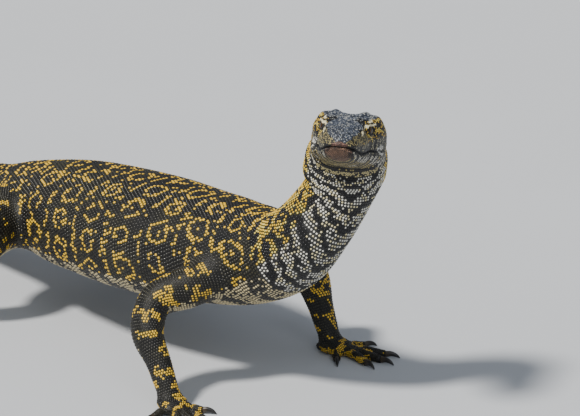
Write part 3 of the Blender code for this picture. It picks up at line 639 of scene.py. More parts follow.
def claw_limb(toe_end, direction, toe_length):
    length = CLAW_LENGTH * (0.82 + 0.006 * toe_length)
    start = toe_end + direction * GAP
    start.z = CLAW_ROOT[1] + 0.35 * MM
    path = [
        start + direction * length * share + Vector((0, 0, lift))
        for share, lift in ((0, 0), (0.38, 0.5 * MM), (0.75, -0.6 * MM), (1, 0.5 * MM - start.z))
    ]
    sizes = [tuple(CLAW_TIP + (r - CLAW_TIP) * s for r in CLAW_ROOT) for s in (1.0, 0.80, 0.48, 0.0)]
    return Limb(path, [(0, 0, 1)] * 4, sizes, {0: tuple(direction)}, 0.0, True)


# Meshes


def link_mesh(name, points, faces_by_size, smooth=True):
    """An object from arrays: points, and faces given as one array for each number of corners."""
    mesh = bpy.data.meshes.new(name)
    faces_by_size = [f for f in faces_by_size if len(f)]
    corners = np.concatenate([f.ravel() for f in faces_by_size]).astype(np.int32)
    sizes = np.concatenate([np.full(len(f), f.shape[1]) for f in faces_by_size])
    starts = running(sizes)[:-1].astype(np.int32)
    mesh.vertices.add(len(points))
    mesh.vertices.foreach_set("co", np.asarray(points, np.float32).ravel())
    mesh.loops.add(len(corners))
    mesh.loops.foreach_set("vertex_index", corners)
    mesh.polygons.add(len(sizes))
    mesh.polygons.foreach_set("loop_start", starts)
    mesh.update(calc_edges=True)
    mesh.validate()
    if smooth:
        mesh.shade_smooth()
    return add_object(name, mesh)


def grid_faces(first, rings, sides):
    """Quads between rings of points that are numbered from the first."""
    k = np.arange(sides)
    ring = (first + np.arange(rings - 1)[:, None] * sides)[..., None]
    quads = np.stack([ring[..., 0] + k, ring[..., 0] + (k + 1) % sides], -1)
    return np.concatenate([quads, quads[..., ::-1] + sides], -1).reshape(-1, 4)


def cap_faces(ring, centre, flip):
    after = np.roll(ring, -1)
    pair = [after, ring] if flip else [ring, after]
    return np.stack([*pair, np.full(len(ring), centre)], 1)


def tube_parts(blocks):
    """Points and faces of one closed tube, from blocks of rings that halve their sides in turn."""
    points, quads, tris, first = [], [], [], 0
    for n, block in enumerate(blocks):
        rings, sides = block.shape[:2]
        quads.append(grid_faces(first, rings, sides))
        if n:
            before = blocks[n - 1].shape[1]
            dense = first - before
            m = np.arange(sides)
            left, middle, right = dense + 2 * m, dense + 2 * m + 1, dense + (2 * m + 2) % before
            tris.append(np.stack([left, middle, first + m], 1))
            quads.append(np.stack([middle, right, first + (m + 1) % sides, first + m], 1))
        points.append(block.reshape(-1, 3))
        first += rings * sides
    last = blocks[-1].shape[1]
    points.append(np.stack([blocks[0][0].mean(0), blocks[-1][-1].mean(0)]))
    tris.append(cap_faces(np.arange(blocks[0].shape[1]), first, True))
    tris.append(cap_faces(first - last + np.arange(last), first + 1, False))
    return np.concatenate(points), np.concatenate(quads), np.concatenate(tris)


def face_outwards(obj):
    work = bmesh.new()
    work.from_mesh(obj.data)
    bmesh.ops.recalc_face_normals(work, faces=work.faces)
    work.to_mesh(obj.data)
    work.free()
    return obj


def limb_parts(limb, rings, sides):
    """Points and faces of a limb's closed tube."""
    angles = np.broadcast_to(even_turns(sides, 0.5), (rings, sides))
    return tube_parts([limb.surface(np.linspace(0, limb.length, rings), angles)])


def limb_mesh(limb, rings, sides):
    points, quads, tris = limb_parts(limb, rings, sides)
    return face_outwards(link_mesh("limb", points, [quads, tris]))


def read_array(items, key, width, kind=np.float32):
    """One property of all items of a mesh, as rows of the given width."""
    values = np.empty(len(items) * width, kind)
    items.foreach_get(key, values)
    return values.reshape(-1, width)


def coordinates(obj):
    return read_array(obj.data.vertices, "co", 3).astype(float)


def store_values(obj, name, values):
    """Keeps one number for each point of an object under a name."""
    store = obj.data.attributes.new(name, "FLOAT", "POINT")
    store.data.foreach_set("value", values.astype(np.float32))


def store_tint(obj, tint):
    """Keeps a colour for each point of an object."""
    store = obj.data.color_attributes.new("Tint", "FLOAT_COLOR", "POINT")
    rgba = np.concatenate([tint, np.ones((len(tint), 1))], 1)
    store.data.foreach_set("color", rgba.astype(np.float32).ravel())


def tree_of(points):
    """A search tree of points, numbered in their order."""
    tree = KDTree(len(points))
    for i, p in enumerate(points):
        tree.insert(p, i)
    tree.balance()
    return tree


def relax(points, pairs, weight, rounds):
    """Moves points towards the middle of their neighbours, each by its own weight."""
    a, b = np.concatenate([pairs, pairs[:, ::-1]]).T
    count = np.maximum(np.bincount(a, minlength=len(points)), 1)[:, None]
    for _ in range(rounds):
        mean = np.stack([np.bincount(a, points[b, k], len(points)) for k in range(3)], 1) / count
        points = points + (mean - points) * weight[:, None]
    return points


# The skin


def eye_frame(side):
    """Centre of an eye, the way that it looks, and the two directions across that."""
    forward, left, up = head_axes()
    facing = (forward * EYE_FACING[0] + left * side * EYE_FACING[1] + up * EYE_FACING[2]).normalized()
    across = up.cross(facing).normalized()
    return head_place(EYE_PLACE, side), *(np.array(v) for v in (facing, across, facing.cross(across)))


def in_eye(points, side):
    """How far points lie across, above and in front of an eye's centre."""
    centre, facing, across, upward = eye_frame(side)
    q = points - centre
    return q @ across, q @ upward, q @ facing


def shape_eye(points, side):
    """Lids that wrap the eyeball, open in front, and the hollow that holds it."""
    x, y, z = in_eye(points, side)
    near = (np.hypot(x, y) < EYE_NEAR) & (z > -3 * MM)
    x, y, z = x[near], y[near], z[near]
    rho = np.hypot(x, y)
    lid = EYE_RADIUS + LID_THICK
    over = np.sqrt(np.maximum(lid**2 - rho**2, 0.0))
    soft = 0.9 * MM
    mixed = soft * np.logaddexp(z / soft, np.where(rho < lid, over, -9 * MM) / soft)
    crease = 0.35 * MM * bump(rho, lid + 0.5 * MM, 0.7 * MM)
    tilt = y + LID_TILT * x
    wide, high = EYE_OPENING
    opening = np.hypot(x / wide, tilt / np.where(tilt > 0, high * 0.86, high))
    under = np.sqrt(np.maximum(EYE_RADIUS**2 - rho**2, 0.0)) - 1.2 * MM
    inside = 1 - ramp(opening, 0.90, 1.0)
    height = (mixed - crease) * (1 - inside) + np.minimum(under, mixed) * inside
    moved = points.copy()
    moved[near] += (height - z)[:, None] * eye_frame(side)[1]
    return moved


def pit_oval(points, place, side, opening):
    """How far out points lie in a nostril's or ear's oval, 1 at its rim, and their distance from it."""
    forward, _, up = head_arrays()
    q = points - head_place(place, side)
    return np.hypot((q @ forward) / opening[0], (q @ up) / opening[1]), np.linalg.norm(q, axis=1)


def shape_pit(points, normals, place, side, opening, rim):
    """A nostril or ear: an oval pit with a low rim."""
    oval, far = pit_oval(points, place, side, opening)
    depth = opening[2] * (1 - ramp(oval, 0.55, 1.0)) - rim * bump(oval, 1.28, 0.22)
    return points - normals * (np.where(far < 9 * MM, depth, 0.0))[:, None]


def grid_normals(points):
    along = np.gradient(points, axis=0)
    around = np.roll(points, -1, axis=1) - np.roll(points, 1, axis=1)
    return unit(np.cross(around, along))


def head_block(body, where, sides):
    """The head's rings with the mouth line, lids, nostrils and ears."""
    points = body.surface(where, body.even_angles(where, sides))
    normals = grid_normals(points)
    middle, tangent, _, up = (v[:, None] for v in body.frames(where))
    outward = np.sign(((points - middle) * normals).sum(-1).mean())
    side_on = ramp(where, 0.8 * MM, 3.0 * MM)[:, None, None]
    normals = unit(normals * outward * side_on - tangent * (1 - side_on))
    rise = np.abs(((points - points[:, :1]) * up).sum(-1))
    shut = 1 - ramp(where, MOUTH_CORNER - 2 * MM, MOUTH_CORNER + 3 * MM)[:, None]
    line, lips = (height * shut * bump(rise, *place) for height, *place in (MOUTH_LINE, LIP_SWELL))
    points = points - normals * (line - lips)[..., None]
    flat, flat_normals = points.reshape(-1, 3), normals.reshape(-1, 3)
    for side in (-1, 1):
        flat = shape_pit(flat, flat_normals, NOSTRIL_PLACE, side, NOSTRIL_OPENING, 0.4 * MM)
        flat = shape_pit(flat, flat_normals, EAR_PLACE, side, EAR_OPENING, 0.5 * MM)
        flat = shape_eye(flat, side)
    return flat.reshape(points.shape)


def body_skin(body):
    sides = 224
    fine = 1.15
    near = TIP_ROUND * (1 - np.sqrt(1 - np.linspace(0.05, 0.845, 24) ** 2))
    spans = (np.arange(start, end, step * fine) * MM for start, end, step in HEAD_RINGS)
    head = np.concatenate([near, *spans])
    start, end, step = NECK_RINGS
    neck = np.arange(start, end, step * fine)
    last = body.length - 0.3 * MM
    tail = np.linspace(neck[-1] + 0.003, last, int((last - neck[-1]) / (TAIL_RING_STEP * fine)))
    blocks = [head_block(body, head, sides)]
    for where, count in ((neck, sides // 2), (tail, sides // 4)):
        blocks.append(body.surface(where, body.even_angles(where, count)))
    points, quads, tris = tube_parts(blocks)
    return face_outwards(link_mesh("skin", points, [quads, tris]))


def unite(target, tools):
    group = bpy.data.collections.new("tools")
    for tool in tools:
        for owner in list(tool.users_collection):
            owner.objects.unlink(tool)
        group.objects.link(tool)
    step = target.modifiers.new("unite", "BOOLEAN")
    step.operation, step.solver = "UNION", "MANIFOLD"
    step.operand_type, step.collection = "COLLECTION", group
    bpy.context.view_layer.update()
    graph = bpy.context.evaluated_depsgraph_get()
    result = bpy.data.meshes.new_from_object(target.evaluated_get(graph))
    target.modifiers.clear()
    target.data = result
    for tool in tools:
        bpy.data.objects.remove(tool, do_unlink=True)
    bpy.data.collections.remove(group)


def make_skin(body, limbs):
    """One skin: the body, legs, palms and toes united, with their joins rounded."""
    skin = body_skin(body)
    tools = [limb_mesh(*limb) for limb in limbs]
    before = tree_of(np.concatenate([coordinates(obj) for obj in [skin, *tools]]))
    unite(skin, tools)
    points = coordinates(skin)
    fresh = np.array([before.find(p)[2] > 0.004 * MM for p in points])
    joins = tree_of(points[fresh])
    reach = np.interp(points[:, 2], JOIN_HEIGHTS, JOIN_REACH)
    by_legs = (points[:, 2] < JOINS_BELOW) & (points[:, 1] > JOINS_BEHIND)
    far = np.array([joins.find(p)[2] if near else 1.0 for p, near in zip(points, by_legs)])
    weight = np.where(far > 3 * reach, 0.0, 0.5 * np.exp(-((far / reach) ** 2)))
    flat = points[:, 2].copy()
    edges = read_array(skin.data.edges, "vertices", 2, np.int32)
    points = relax(points, edges, weight, 70)
    points[:, 2] = np.where(flat < 0.05 * MM, flat, np.maximum(points[:, 2], SKIN_LIFT))
    skin.data.vertices.foreach_set("co", points.astype(np.float32).ravel())
    skin.data.update()
    skin.data.shade_smooth()
    return skin


# Markings


def lump(points, size, seed):
    """Smooth random values from 0 to 1 at points, in lumps of the given size."""
    q = points / size + 100.0 + seed * 3.7
    cell = np.floor(q).astype(np.int64)
    f = q - cell
    f = f * f * (3 - 2 * f)
    total = np.zeros(len(points))
    for corner in np.ndindex(2, 2, 2):
        c = cell + np.array(corner)
        h = (c[:, 0] * 73856093) ^ (c[:, 1] * 19349663) ^ (c[:, 2] * 83492791) ^ (seed * 2654435761)
        h = (h ^ (h >> 13)) * 1274126177 & 0xFFFFFFFF
        weight = np.prod(np.where(np.array(corner), f, 1 - f), axis=1)
        total += weight * ((h >> 8) & 0xFFFF) / 65535.0
    return total


def blend_colour(a, b, share):
    return np.asarray(a) * (1 - share[:, None]) + np.asarray(b) * share[:, None]


def pick(mask, colour, base):
    """The colour where the mask holds, and the base elsewhere."""
    return np.where(mask[:, None], np.asarray(colour), base)


def mark_paths(body):
    """Each mark as close points on the skin, on both sides of the head."""
    made = []
    for tone, reach, rows in HEAD_MARKS:
        at = np.arange(len(rows))
        fine = np.linspace(0, at[-1], 24 * at[-1] + 1)
        where, turn = (np.interp(fine, at, column) for column in np.array(rows).T)
        for side in (-1, 1):
            angles = (TOP + side * turn * math.pi)[:, None]
            made.append((tone, reach, body.surface(where * MM, angles)[:, 0]))
    return made


def lip_colours(p, s, t, chance, wide, small):
    """Grey lips with dark bars, black along the line of the mouth, pale at its corners, where pale scales
    carry a painted wet highlight.
    """
    bars = np.sin(TURN * (s / (6.1 * MM)) + 4 * wide)
    lip = pick(bars > 0.18, LIP_BAR, GREY)
    lip = pick((bars < 0.02) & (chance > 0.62), LIP_PALE, lip)
    lip = pick((np.abs(from_mouth(p)[1]) < 1.25 * MM) & (s < 74 * MM), BLACK, lip)
    # Pale patch at each corner of the mouth: pale scales with a painted wet highlight.
    pale = (np.abs(t - 0.517) < 0.036 * (0.3 + small)) & (chance > 0.28)
    return pick(pale & (np.abs(s - CORNER_AT - 8 * MM * (t - 0.5) / 0.04) < CORNER_HALF), LIP_CORNER_PALE_AND_HIGHLIGHT, lip)


def jaw_colours(p, s, t, chance, wide, small):
    """Arcs of olive and pale scales round the chin on black, then the first fold of the throat, black as
    painted shade, with a gold row behind.
    """
    q = p - head_place(CHIN_PLACE)
    drawn_out = np.sqrt(np.maximum(np.linalg.norm(q, axis=1) ** 2 - 0.72 * (q @ head_arrays()[0]) ** 2, 0))
    arcs = np.sin(TURN * drawn_out / (4.1 * MM) + 1.1 * small)
    row = (arcs > 0.10) & (chance > 0.07) & (small > 0.14)
    jaw = pick(row, JAW_OLIVE, BLACK)
    jaw = pick(row & (wide + 0.30 * (t < 0.74) > 0.70), JAW_PALE, jaw)
    # Black band along the first fold of the throat: painted shade in the crease under the jaw.
    fold = (s > 87.5 * MM + 4 * MM * (wide - 0.5)) & (t > 0.70)
    jaw = pick(fold & (chance < 0.94), BLACK, jaw)
    gold = fold & (s > 91.5 * MM) & (np.sin(TURN * s / (3.4 * MM)) > -0.3)
    return pick(gold & (chance > 0.3), FOLD_GOLD, jaw)


def eye_marks(p, chance, side, colour):
    """Black round an eye, a bright upper lid, a yellow line below, and a bright rim to the nostril."""
    wide, high = EYE_OPENING
    x, y, z = in_eye(p, side)
    rho, turn = np.hypot(x, y), np.degrees(np.arctan2(y, -side * x))
    on_side = (p - head_place(NOSE_PLACE)) @ eye_frame(side)[1] > 0
    near = (np.abs(z) < EYE_NEAR) & (rho < 13 * MM) & on_side
    colour = pick(near & (rho < EYE_NEAR) & (chance < 0.86), BLACK, colour)
    edge = rho - np.hypot(wide * np.cos(np.radians(turn)), high * np.sin(np.radians(turn)))
    lid = (edge > -0.2 * MM) & (edge < 1.2 * MM) & (turn > 20) & (turn < 130)
    lower = (edge > 2.1 * MM) & (edge < 3.3 * MM) & (turn < -20) & (turn > -150) & (chance > 0.2)
    colour = pick(near & lid, BRIGHT, colour)
    colour = pick(near & lower, YELLOW, colour)
    q = p - head_place(NOSTRIL_PLACE, side)
    rim, outer = np.linalg.norm(q, axis=1), side * (q @ head_arrays()[1])
    return pick((rim > 1.2 * MM) & (rim < 3.1 * MM) & (outer > 0.6 * MM), BRIGHT, colour)


def head_colours(p, s, t, chance, *rest):
    """Slate crown with pale specks, black sides with yellow dots and lines, grey lips, brown chin."""
    wide, small, tiny = lump(p, 9 * MM, 1), lump(p, 3.2 * MM, 2), lump(p, 1.9 * MM, 12)
    crown = blend_colour(BLACK, SLATE, np.clip(0.25 + 1.1 * wide, 0, 1))
    crown = pick(chance > 0.64, SLATE_SPECK, crown)
    crown = pick(chance > 0.86, SLATE_FLECK, crown)
    sides = pick((tiny + 0.25 * wide > 0.76) | (chance > 0.86), YELLOW, BLACK)
    for level, swing in TEMPLE_LINES:
        path = level + swing * np.sin(s / (3.4 * MM) + 9 * level)
        sides = pick((s > 70 * MM) & (t > 0.27) & (np.abs(t - path) < 0.010), LEMON, sides)
    muted = pick(chance + 0.5 * (tiny - 0.5) > 0.52, SNOUT_OLIVE, SNOUT_DARK)
    sides = pick(chance * 0.6 + 0.4 * small < ramp(s, 42 * MM, 30 * MM) * 0.9, muted, sides)
    edge = np.interp(s, *CROWN_EDGE)
    colour = pick(t < edge + 0.04 * (wide - 0.5) + 0.03 * (small - 0.5), crown, sides)
    colour = pick((t > LIP_TOP) & (t < LIP_END), lip_colours(p, s, t, chance, wide, small), colour)
    colour = pick(t >= LIP_END, jaw_colours(p, s, t, chance, wide, small), colour)
    from_chin = np.linalg.norm(p - head_place(CHIN_PLACE), axis=1)
    disc = 1 - ramp(from_chin + 3.0 * MM * small, 11.0 * MM, 14.5 * MM)
    disc = disc * (1 - ramp(s + 2.0 * MM * small, 17 * MM, 22 * MM))
    flecks = np.where((from_chin > 7.5 * MM) & (tiny < 0.40), 0.25, 0.75 + 0.5 * tiny)
    colour = pick(t > 0.5, blend_colour(colour, BROWN * flecks[:, None], disc), colour)
    behind = (s + 16 * MM * (wide - 0.5) + 7 * MM * (small - 0.5) > 88 * MM) & (t < 0.5)
    colour = pick(behind, neck_colours(p, s, t, chance), colour)
    q = (p - head_place(NOSE_PLACE)) @ np.array(head_arrays()).T
    nose = 1 - ramp(np.hypot(q[:, 1] / 1.05, q[:, 2] * 2.5) + 1.6 * MM * small, 5.8 * MM, 8.0 * MM)
    nose = nose * (1 - ramp(s, 6 * MM, 11 * MM))
    colour = pick(t <= 0.5, blend_colour(colour, NOSE_BROWN, nose), colour)
    for side in (-1, 1):
        colour = eye_marks(p, chance, side, colour)
    for tone, reach, path in MARKS:
        colour = pick(np.linalg.norm(p[:, None] - path, axis=2).min(1) < reach * MM, tone, colour)
    return colour


def neck_colours(p, s, t, chance, *rest):
    """Throat black with drooping bands of white scales, sides and nape black with yellow ones."""
    wide, small = lump(p, 13 * MM, 3), lump(p, 4.5 * MM, 4)
    band = np.sin(TURN * ((s / MM + 52 * (1 - t) + 9 * wide + 5 * small) / 14.0))
    white = ((band > -0.42) & (chance > 0.10)) | (chance > 0.955)
    throat = pick(white, PALE, BLACK)
    throat = pick(white & (chance > 0.74), PALE_CREAM, throat)
    gold = (lump(p, 5.0 * MM, 5) + 0.16 * band > 0.42) & (chance > 0.14)
    flank = pick(gold, YELLOW, BLACK)
    flank = pick(gold & (chance > 0.72), LEMON, flank)
    return pick(t > 0.60 + 0.06 * (wide - 0.5) + 0.04 * (small - 0.5), throat, flank)


def trunk_colours(p, s, t, chance, girth, normal):
    """Dark back with rows of yellow rings, spotted flanks, and a cream belly with dark bars."""
    wide, small = lump(p, 22 * MM, 6), lump(p, 6 * MM, 7)
    row = (s + 7 * MM * (wide - 0.5)) / RING_ROWS
    column = t * girth / 2 / RING_STEP + 0.5 * (np.round(row) % 2)
    ring = np.hypot((row - np.round(row)) * RING_ROWS, (column - np.round(column)) * RING_STEP * 0.95)
    ring = ring + 2.6 * MM * (small - 0.5)
    size = RING_SIZE + RING_VARIES * np.sin(12.9 * np.round(row) + 78.2 * np.round(column))
    spots = (np.abs(ring - size) < 1.8 * MM) & (chance > 0.15)
    dots = (ring < 1.9 * MM) & (size > 9.0 * MM)
    between = (np.abs(np.abs(row - np.round(row)) - 0.5) < 0.055) & (chance > 0.45)
    speckle = (small > 0.62) & (chance > 0.72)
    back = pick(spots | dots | between | speckle, YELLOW, blend_colour(BLACK, OLIVE, wide))
    bars = np.sin(TURN * (s / (31 * MM)) + 3.5 * wide)
    belly = pick((bars < -0.35) & (chance > 0.12), BELLY_BAR, CREAM)
    belly = pick((bars > -0.35) & (chance < 0.10), BLACK, belly)
    return pick(t > 0.66 + 0.05 * (small - 0.5), belly, back)


def tail_colours(p, s, t, chance, girth, normal):
    """Black with yellow cross bands, broken into dots near the trunk."""
    small = lump(p, 6 * MM, 8)
    along = s - VENT
    band = np.sin(TURN * along / (36 * MM) + 1.6 * (small - 0.5) - 1.2 * np.minimum(t, 0.5))
    whole = ramp(along, 0.1, 0.5)
    inside = band > 0.35
    unbroken = (np.abs(band - 0.72) > 0.10 * (1 - whole)) | (chance > 0.4)
    yellow = inside & (chance > 0.30 * (1 - whole)) & unbroken
    stray = ~inside & (chance > 0.90 + 0.08 * whole)
    colour = pick(yellow | stray, YELLOW, blend_colour(BLACK, OLIVE, small * (1 - whole)))
    return pick((t > 0.7) & (band > -0.2), blend_colour(colour, CREAM, 0.7 * (1 - whole)), colour)


def leg_colours(p, s, t, chance, girth, normal, paleness=1.0):
    """Black with yellow dots above, paler below, and bars across the toes."""
    spot, small = lump(p, 5.5 * MM, 9), lump(p, 11 * MM, 10)
    colour = pick((spot > 0.60) & (chance > 0.12), YELLOW, blend_colour(BLACK, OLIVE, small))
    under = ramp(-normal[:, 2], 0.25, 0.75) * paleness
    return pick(chance < under, pick(small > 0.62, SOLE_BAR, CREAM), colour)


def foot_colours(*place):
    return leg_colours(*place, FOOT_PALENESS)


PAINTS = {
    HEAD: head_colours,
    NECK: neck_colours,
    TRUNK: trunk_colours,
    TAIL: tail_colours,
    LEG: leg_colours,
    FOOT: foot_colours,
}


# Scales


class Scales:
    """Rows of scales gathered for one part of the body."""

    def __init__(self, name):
        self.name, self.rows = name, []

    def add(self, points, along, spacing, s, t, girth, patch):
        full = [np.broadcast_to(np.asarray(v, float), (len(points),)) for v in (spacing, s, t, girth)]
        self.rows.append((points, along, *full, patch))

    def gathered(self):
        return [np.concatenate(p) for p in zip(*self.rows)]


def outlines(target, where):
    """Close points round a tube at each place along it, and the lengths of the steps between them."""
    points = target.surface(where, np.broadcast_to(ROUND, (len(where), len(ROUND))))
    return points, np.linalg.norm(np.diff(points, axis=1), axis=2)


def rows_on(target, scales, start, end, spacing_at, kind, uv_box):
    """Lays offset rows of scale roots along a tube, evenly round each section."""
    probe = np.linspace(start, end, max(60, int((end - start) / (0.5 * MM))))
    grid = target.surface(probe, np.broadcast_to(even_turns(24), (len(probe), 24)))
    run = running(np.linalg.norm(np.diff(grid, axis=0), axis=2).mean(1))
    where, at = [], 0.0
    while at < run[-1]:
        where.append(float(np.interp(at, run, probe)))
        at += spacing_at(where[-1]) * ROW_PITCH
    where = np.array(where)
    outline, steps = outlines(target, where)
    tangent = target.tangents(where)
    for i, s in enumerate(where):
        total = steps[i].sum()
        count = max(5, int(round(total / spacing_at(s))))
        run_ring = running(steps[i])
        top = np.interp(TOP, ROUND, run_ring)
        marks = (top + (np.arange(count) + 0.5 * (i % 2)) * total / count) % total
        turn = turn_from(np.interp(marks, run_ring, ROUND), TOP) / math.pi
        u = uv_box[0] + (uv_box[2] - uv_box[0]) * (s - start) / max(end - start, 1e-6)
        v = uv_box[1] + (uv_box[3] - uv_box[1]) * ((marks - top) % total) / total
        patch = np.stack([np.full(count, u), v, np.full(count, float(kind))], 1)
        spots = interp3(marks, run_ring, outline[i])
        scales.add(spots, np.tile(tangent[i], (count, 1)), spacing_at(s), s, turn, total, patch)


def head_patch(s, share):
    """Place on the unwrap, and the kind, of scales on the head."""
    return np.stack([MARGIN + SPAN * s / HEAD_END, MARGIN + SPAN * share, np.full(len(s), float(HEAD))], 1)


def place_of(body, points):
    """Distance from the snout tip, turn from the top, girth and unwrap place of points on the head."""
    q = points - np.array(SNOUT_TIP + ROW_SHIFT)
    s = np.clip(-(q @ head_arrays()[0]), 0.2 * MM, HEAD_STRAIGHT)
    outline, steps = outlines(body, s)
    run = running(steps)
    nearest = np.linalg.norm(outline - points[:, None], axis=2).argmin(1)
    total = run[:, -1]
    share = ((run[np.arange(len(s)), nearest] - run[:, QUARTER]) % total) / total
    return s, turn_from(ROUND[nearest], TOP) / math.pi, total, head_patch(s, share)


def ring_rows(body, scales, tree, centre, facing, across, upward, tilt, rings, spacing):
    """Rings of small scales round an eye, a nostril or an ear, each ring given by its half sizes."""
    for wide, high in rings:
        phi = np.linspace(0, TURN, 400)
        x, y = wide * np.cos(phi), high * np.sin(phi) - tilt * wide * np.cos(phi)
        run = running(np.hypot(np.diff(x), np.diff(y)))
        count = max(6, int(round(run[-1] / spacing)))
        marks = (np.arange(count) + 0.5 * (len(scales.rows) % 2)) * run[-1] / count
        x, y = np.interp(marks, run, x), np.interp(marks, run, y)
        starts = centre + x[:, None] * across + y[:, None] * upward + 12 * MM * facing
        hits = [tree.ray_cast(Vector(p), Vector(-facing)) for p in starts]
        good = np.array([h[0] is not None and h[3] < 22 * MM for h in hits])
        if not good.any():
            continue
        points = np.array([tuple(h[0]) for h, ok in zip(hits, good) if ok])
        turned = (TURN * marks / run[-1])[:, None]
        along = (-np.sin(turned) * across + np.cos(turned) * upward)[good]
        scales.add(points, along, spacing, *place_of(body, points))


def lip_rows(body, scales):
    """A row of small shields above and below the line of the mouth, on each side."""
    where = np.concatenate([np.linspace(0.3, 4, 30), np.linspace(4.2, 84, 300)]) * MM
    run = running(outlines(body, where)[1])
    girth = run[:, -1]
    for middle, sign in ((0, 1), (2 * QUARTER, -1)):
        for offset, spacing in LIP_ROWS:
            mark = (run[:, middle] + sign * offset * MM) % girth
            angle = np.array([np.interp(m, r, ROUND) for m, r in zip(mark, run)])
            line = body.surface(where, angle[:, None])[:, 0]
            path = run_along(line)
            start = 0.25 if abs(offset) < 1 else 0.75
            marks = (np.arange(int(path[-1] / (spacing * MM))) + start) * spacing * MM
            points = interp3(marks, path, line)
            s = np.interp(marks, path, where)
            share = np.unwrap((mark - run[:, QUARTER]) % girth / girth, period=1.0)
            patch = head_patch(s, np.interp(marks, path, share) % 1.0)
            turn = np.interp(marks, path, turn_from(angle, TOP) / math.pi)
            along = np.gradient(points, axis=0)
            scales.add(points, along, spacing * MM, s, turn, np.interp(s, where, girth), patch)


def opening_frame(place, side):
    """Centre of a nostril or ear and its outward, forward and upward directions."""
    forward, left, up = head_arrays()
    facing = unit(left * side + up * (0.75 if place is NOSTRIL_PLACE else 0.0))
    across = unit(forward - (forward @ facing) * facing)
    return head_place(place, side), facing, across, np.cross(facing, across) * side


def head_details(body, scales, tree):
    for side in (-1, 1):
        rings = [(EYE_OPENING[0] + r * MM, EYE_OPENING[1] + r * MM) for r in LID_ROWS]
        ring_rows(body, scales, tree, *eye_frame(side), LID_TILT, rings, LID_SPACING)
        for place, opening, spacing in (
            (NOSTRIL_PLACE, NOSTRIL_OPENING, NOSTRIL_SPACING),
            (EAR_PLACE, EAR_OPENING, EAR_SPACING),
        ):
            ring = tuple(half * 1.12 + 0.25 * MM for half in opening[:2])
            ring_rows(body, scales, tree, *opening_frame(place, side), 0.0, [ring], spacing)
    lip_rows(body, scales)


def from_mouth(points):
    """How far points lie behind the snout's end and above the line of the mouth."""
    forward, _, up = head_arrays()
    q = points - head_place((0, 0, 0))
    back = -(q @ forward)
    at, level = ([row[k] * MM for row in HEAD_SECTIONS] for k in (0, 3))
    return back, q @ up - np.interp(back, at, level)


def in_opening(points):
    """Which points lie in the openings of the eyes, nostrils and ears, or on the line of the mouth."""
    inside = np.zeros(len(points), bool)
    for side in (-1, 1):
        x, y, _ = in_eye(points, side)
        wide = np.hypot(x / EYE_OPENING[0], (y + LID_TILT * x) / EYE_OPENING[1])
        far = np.linalg.norm(points - head_place(EYE_PLACE, side), axis=1)
        inside |= (wide < 1.05) & (far < 9 * MM)
        for place, opening in ((NOSTRIL_PLACE, NOSTRIL_OPENING), (EAR_PLACE, EAR_OPENING)):
            oval, far = pit_oval(points, place, side, opening)
            inside |= (oval < 0.98) & (far < 7 * MM)
    back, rise = from_mouth(points)
    close = np.linalg.norm(points - head_place((0, 0, 0)), axis=1) < 90 * MM
    shut = (back > -3 * MM) & (back < MOUTH_CORNER) & close
    return inside | (shut & (np.abs(rise) < np.where(back < 10 * MM, 0.55, 0.35) * MM))


def on_floor(points, normals, height):
    """Which points face straight down within a height above the floor."""
    return (normals[:, 2] < -0.94) & (points[:, 2] < height)


def surface_tree(skin):
    verts = [v.co.copy() for v in skin.data.vertices]
    return BVHTree.FromPolygons(verts, [tuple(p.vertices) for p in skin.data.polygons])


def joined(groups):
    """Roots and spacings of all scales, the group of each and its number there."""
    counts = [len(g.data[0]) for g in groups]
    owner = np.repeat(np.arange(len(groups)), counts)
    index = np.concatenate([np.arange(n) for n in counts])
    return *(np.concatenate([g.data[k] for g in groups]) for k in (0, 2)), owner, index


def settle(groups, skin, rng):
    """Sets all roots on the skin, drops those inside it or too close, and fills what is left bare."""
    tree = surface_tree(skin)
    for group in groups:
        points, along, spacing, s, t, girth, patch = group.gathered()
        found = [tree.find_nearest(Vector(p)) for p in points]
        spot, normal = (np.array([tuple(f[k]) for f in found]) for k in (0, 1))
        keep = np.array([f[3] for f in found]) < 2.6 * MM
        keep &= ~on_floor(spot, normal, 0.3 * MM)
        if group.name == "head_scales":
            keep &= ~in_opening(spot)
        group.data = [a[keep] for a in (spot, along, spacing, s, t, girth, patch, normal)]
    spots, sizes, owner, _ = joined(groups)
    roots = tree_of(spots)
    dropped = np.zeros(len(spots), bool)
    for i, p in enumerate(spots):
        if not dropped[i]:
            for _, j, _ in roots.find_range(p, TOO_CLOSE * sizes[i]):
                dropped[j] |= j > i
    for i, group in enumerate(groups):
        group.data = [a[~dropped[owner == i]] for a in group.data]
    fill_bare(groups, skin, rng)


def fill_bare(groups, skin, rng):
    """Adds scales where the rows leave the skin bare, as at the roots of the legs."""
    spots, sizes, owner, index = joined(groups)
    roots = tree_of(spots)
    faces = skin.data.polygons
    centres, normals = (read_array(faces, key, 3).astype(float) for key in ("center", "normal"))
    skipped = in_opening(centres) | on_floor(centres, normals, 0.4 * MM)
    cells, added = {}, [[] for _ in groups]
    for i in rng.permutation(len(centres)):
        if skipped[i]:
            continue
        p = centres[i]
        _, j, far = roots.find(p)
        if far <= BARE_FROM * sizes[j]:
            continue
        key = np.floor(p / FILL_CELL).astype(int)
        around = (q for step in np.ndindex(3, 3, 3) for q in cells.get(tuple(key + step - 1), ()))
        if not any(np.linalg.norm(p - q) < FILL_APART * sizes[j] for q in around):
            cells.setdefault(tuple(key), []).append(p)
            added[owner[j]].append((i, index[j]))
    for group, extra in zip(groups, added):
        if extra:
            i, j = np.array(extra).T
            more = [a[j].copy() for a in group.data]
            shift = (centres[i] - more[0]) / UNWRAP_LENGTH
            more[0], more[7] = centres[i], normals[i]
            more[2] = more[2] * 0.9
            more[6][:, :2] += np.clip(shift[:, :2], -FILL_CELL, FILL_CELL)
            group.data = [np.concatenate(pair) for pair in zip(group.data, more)]


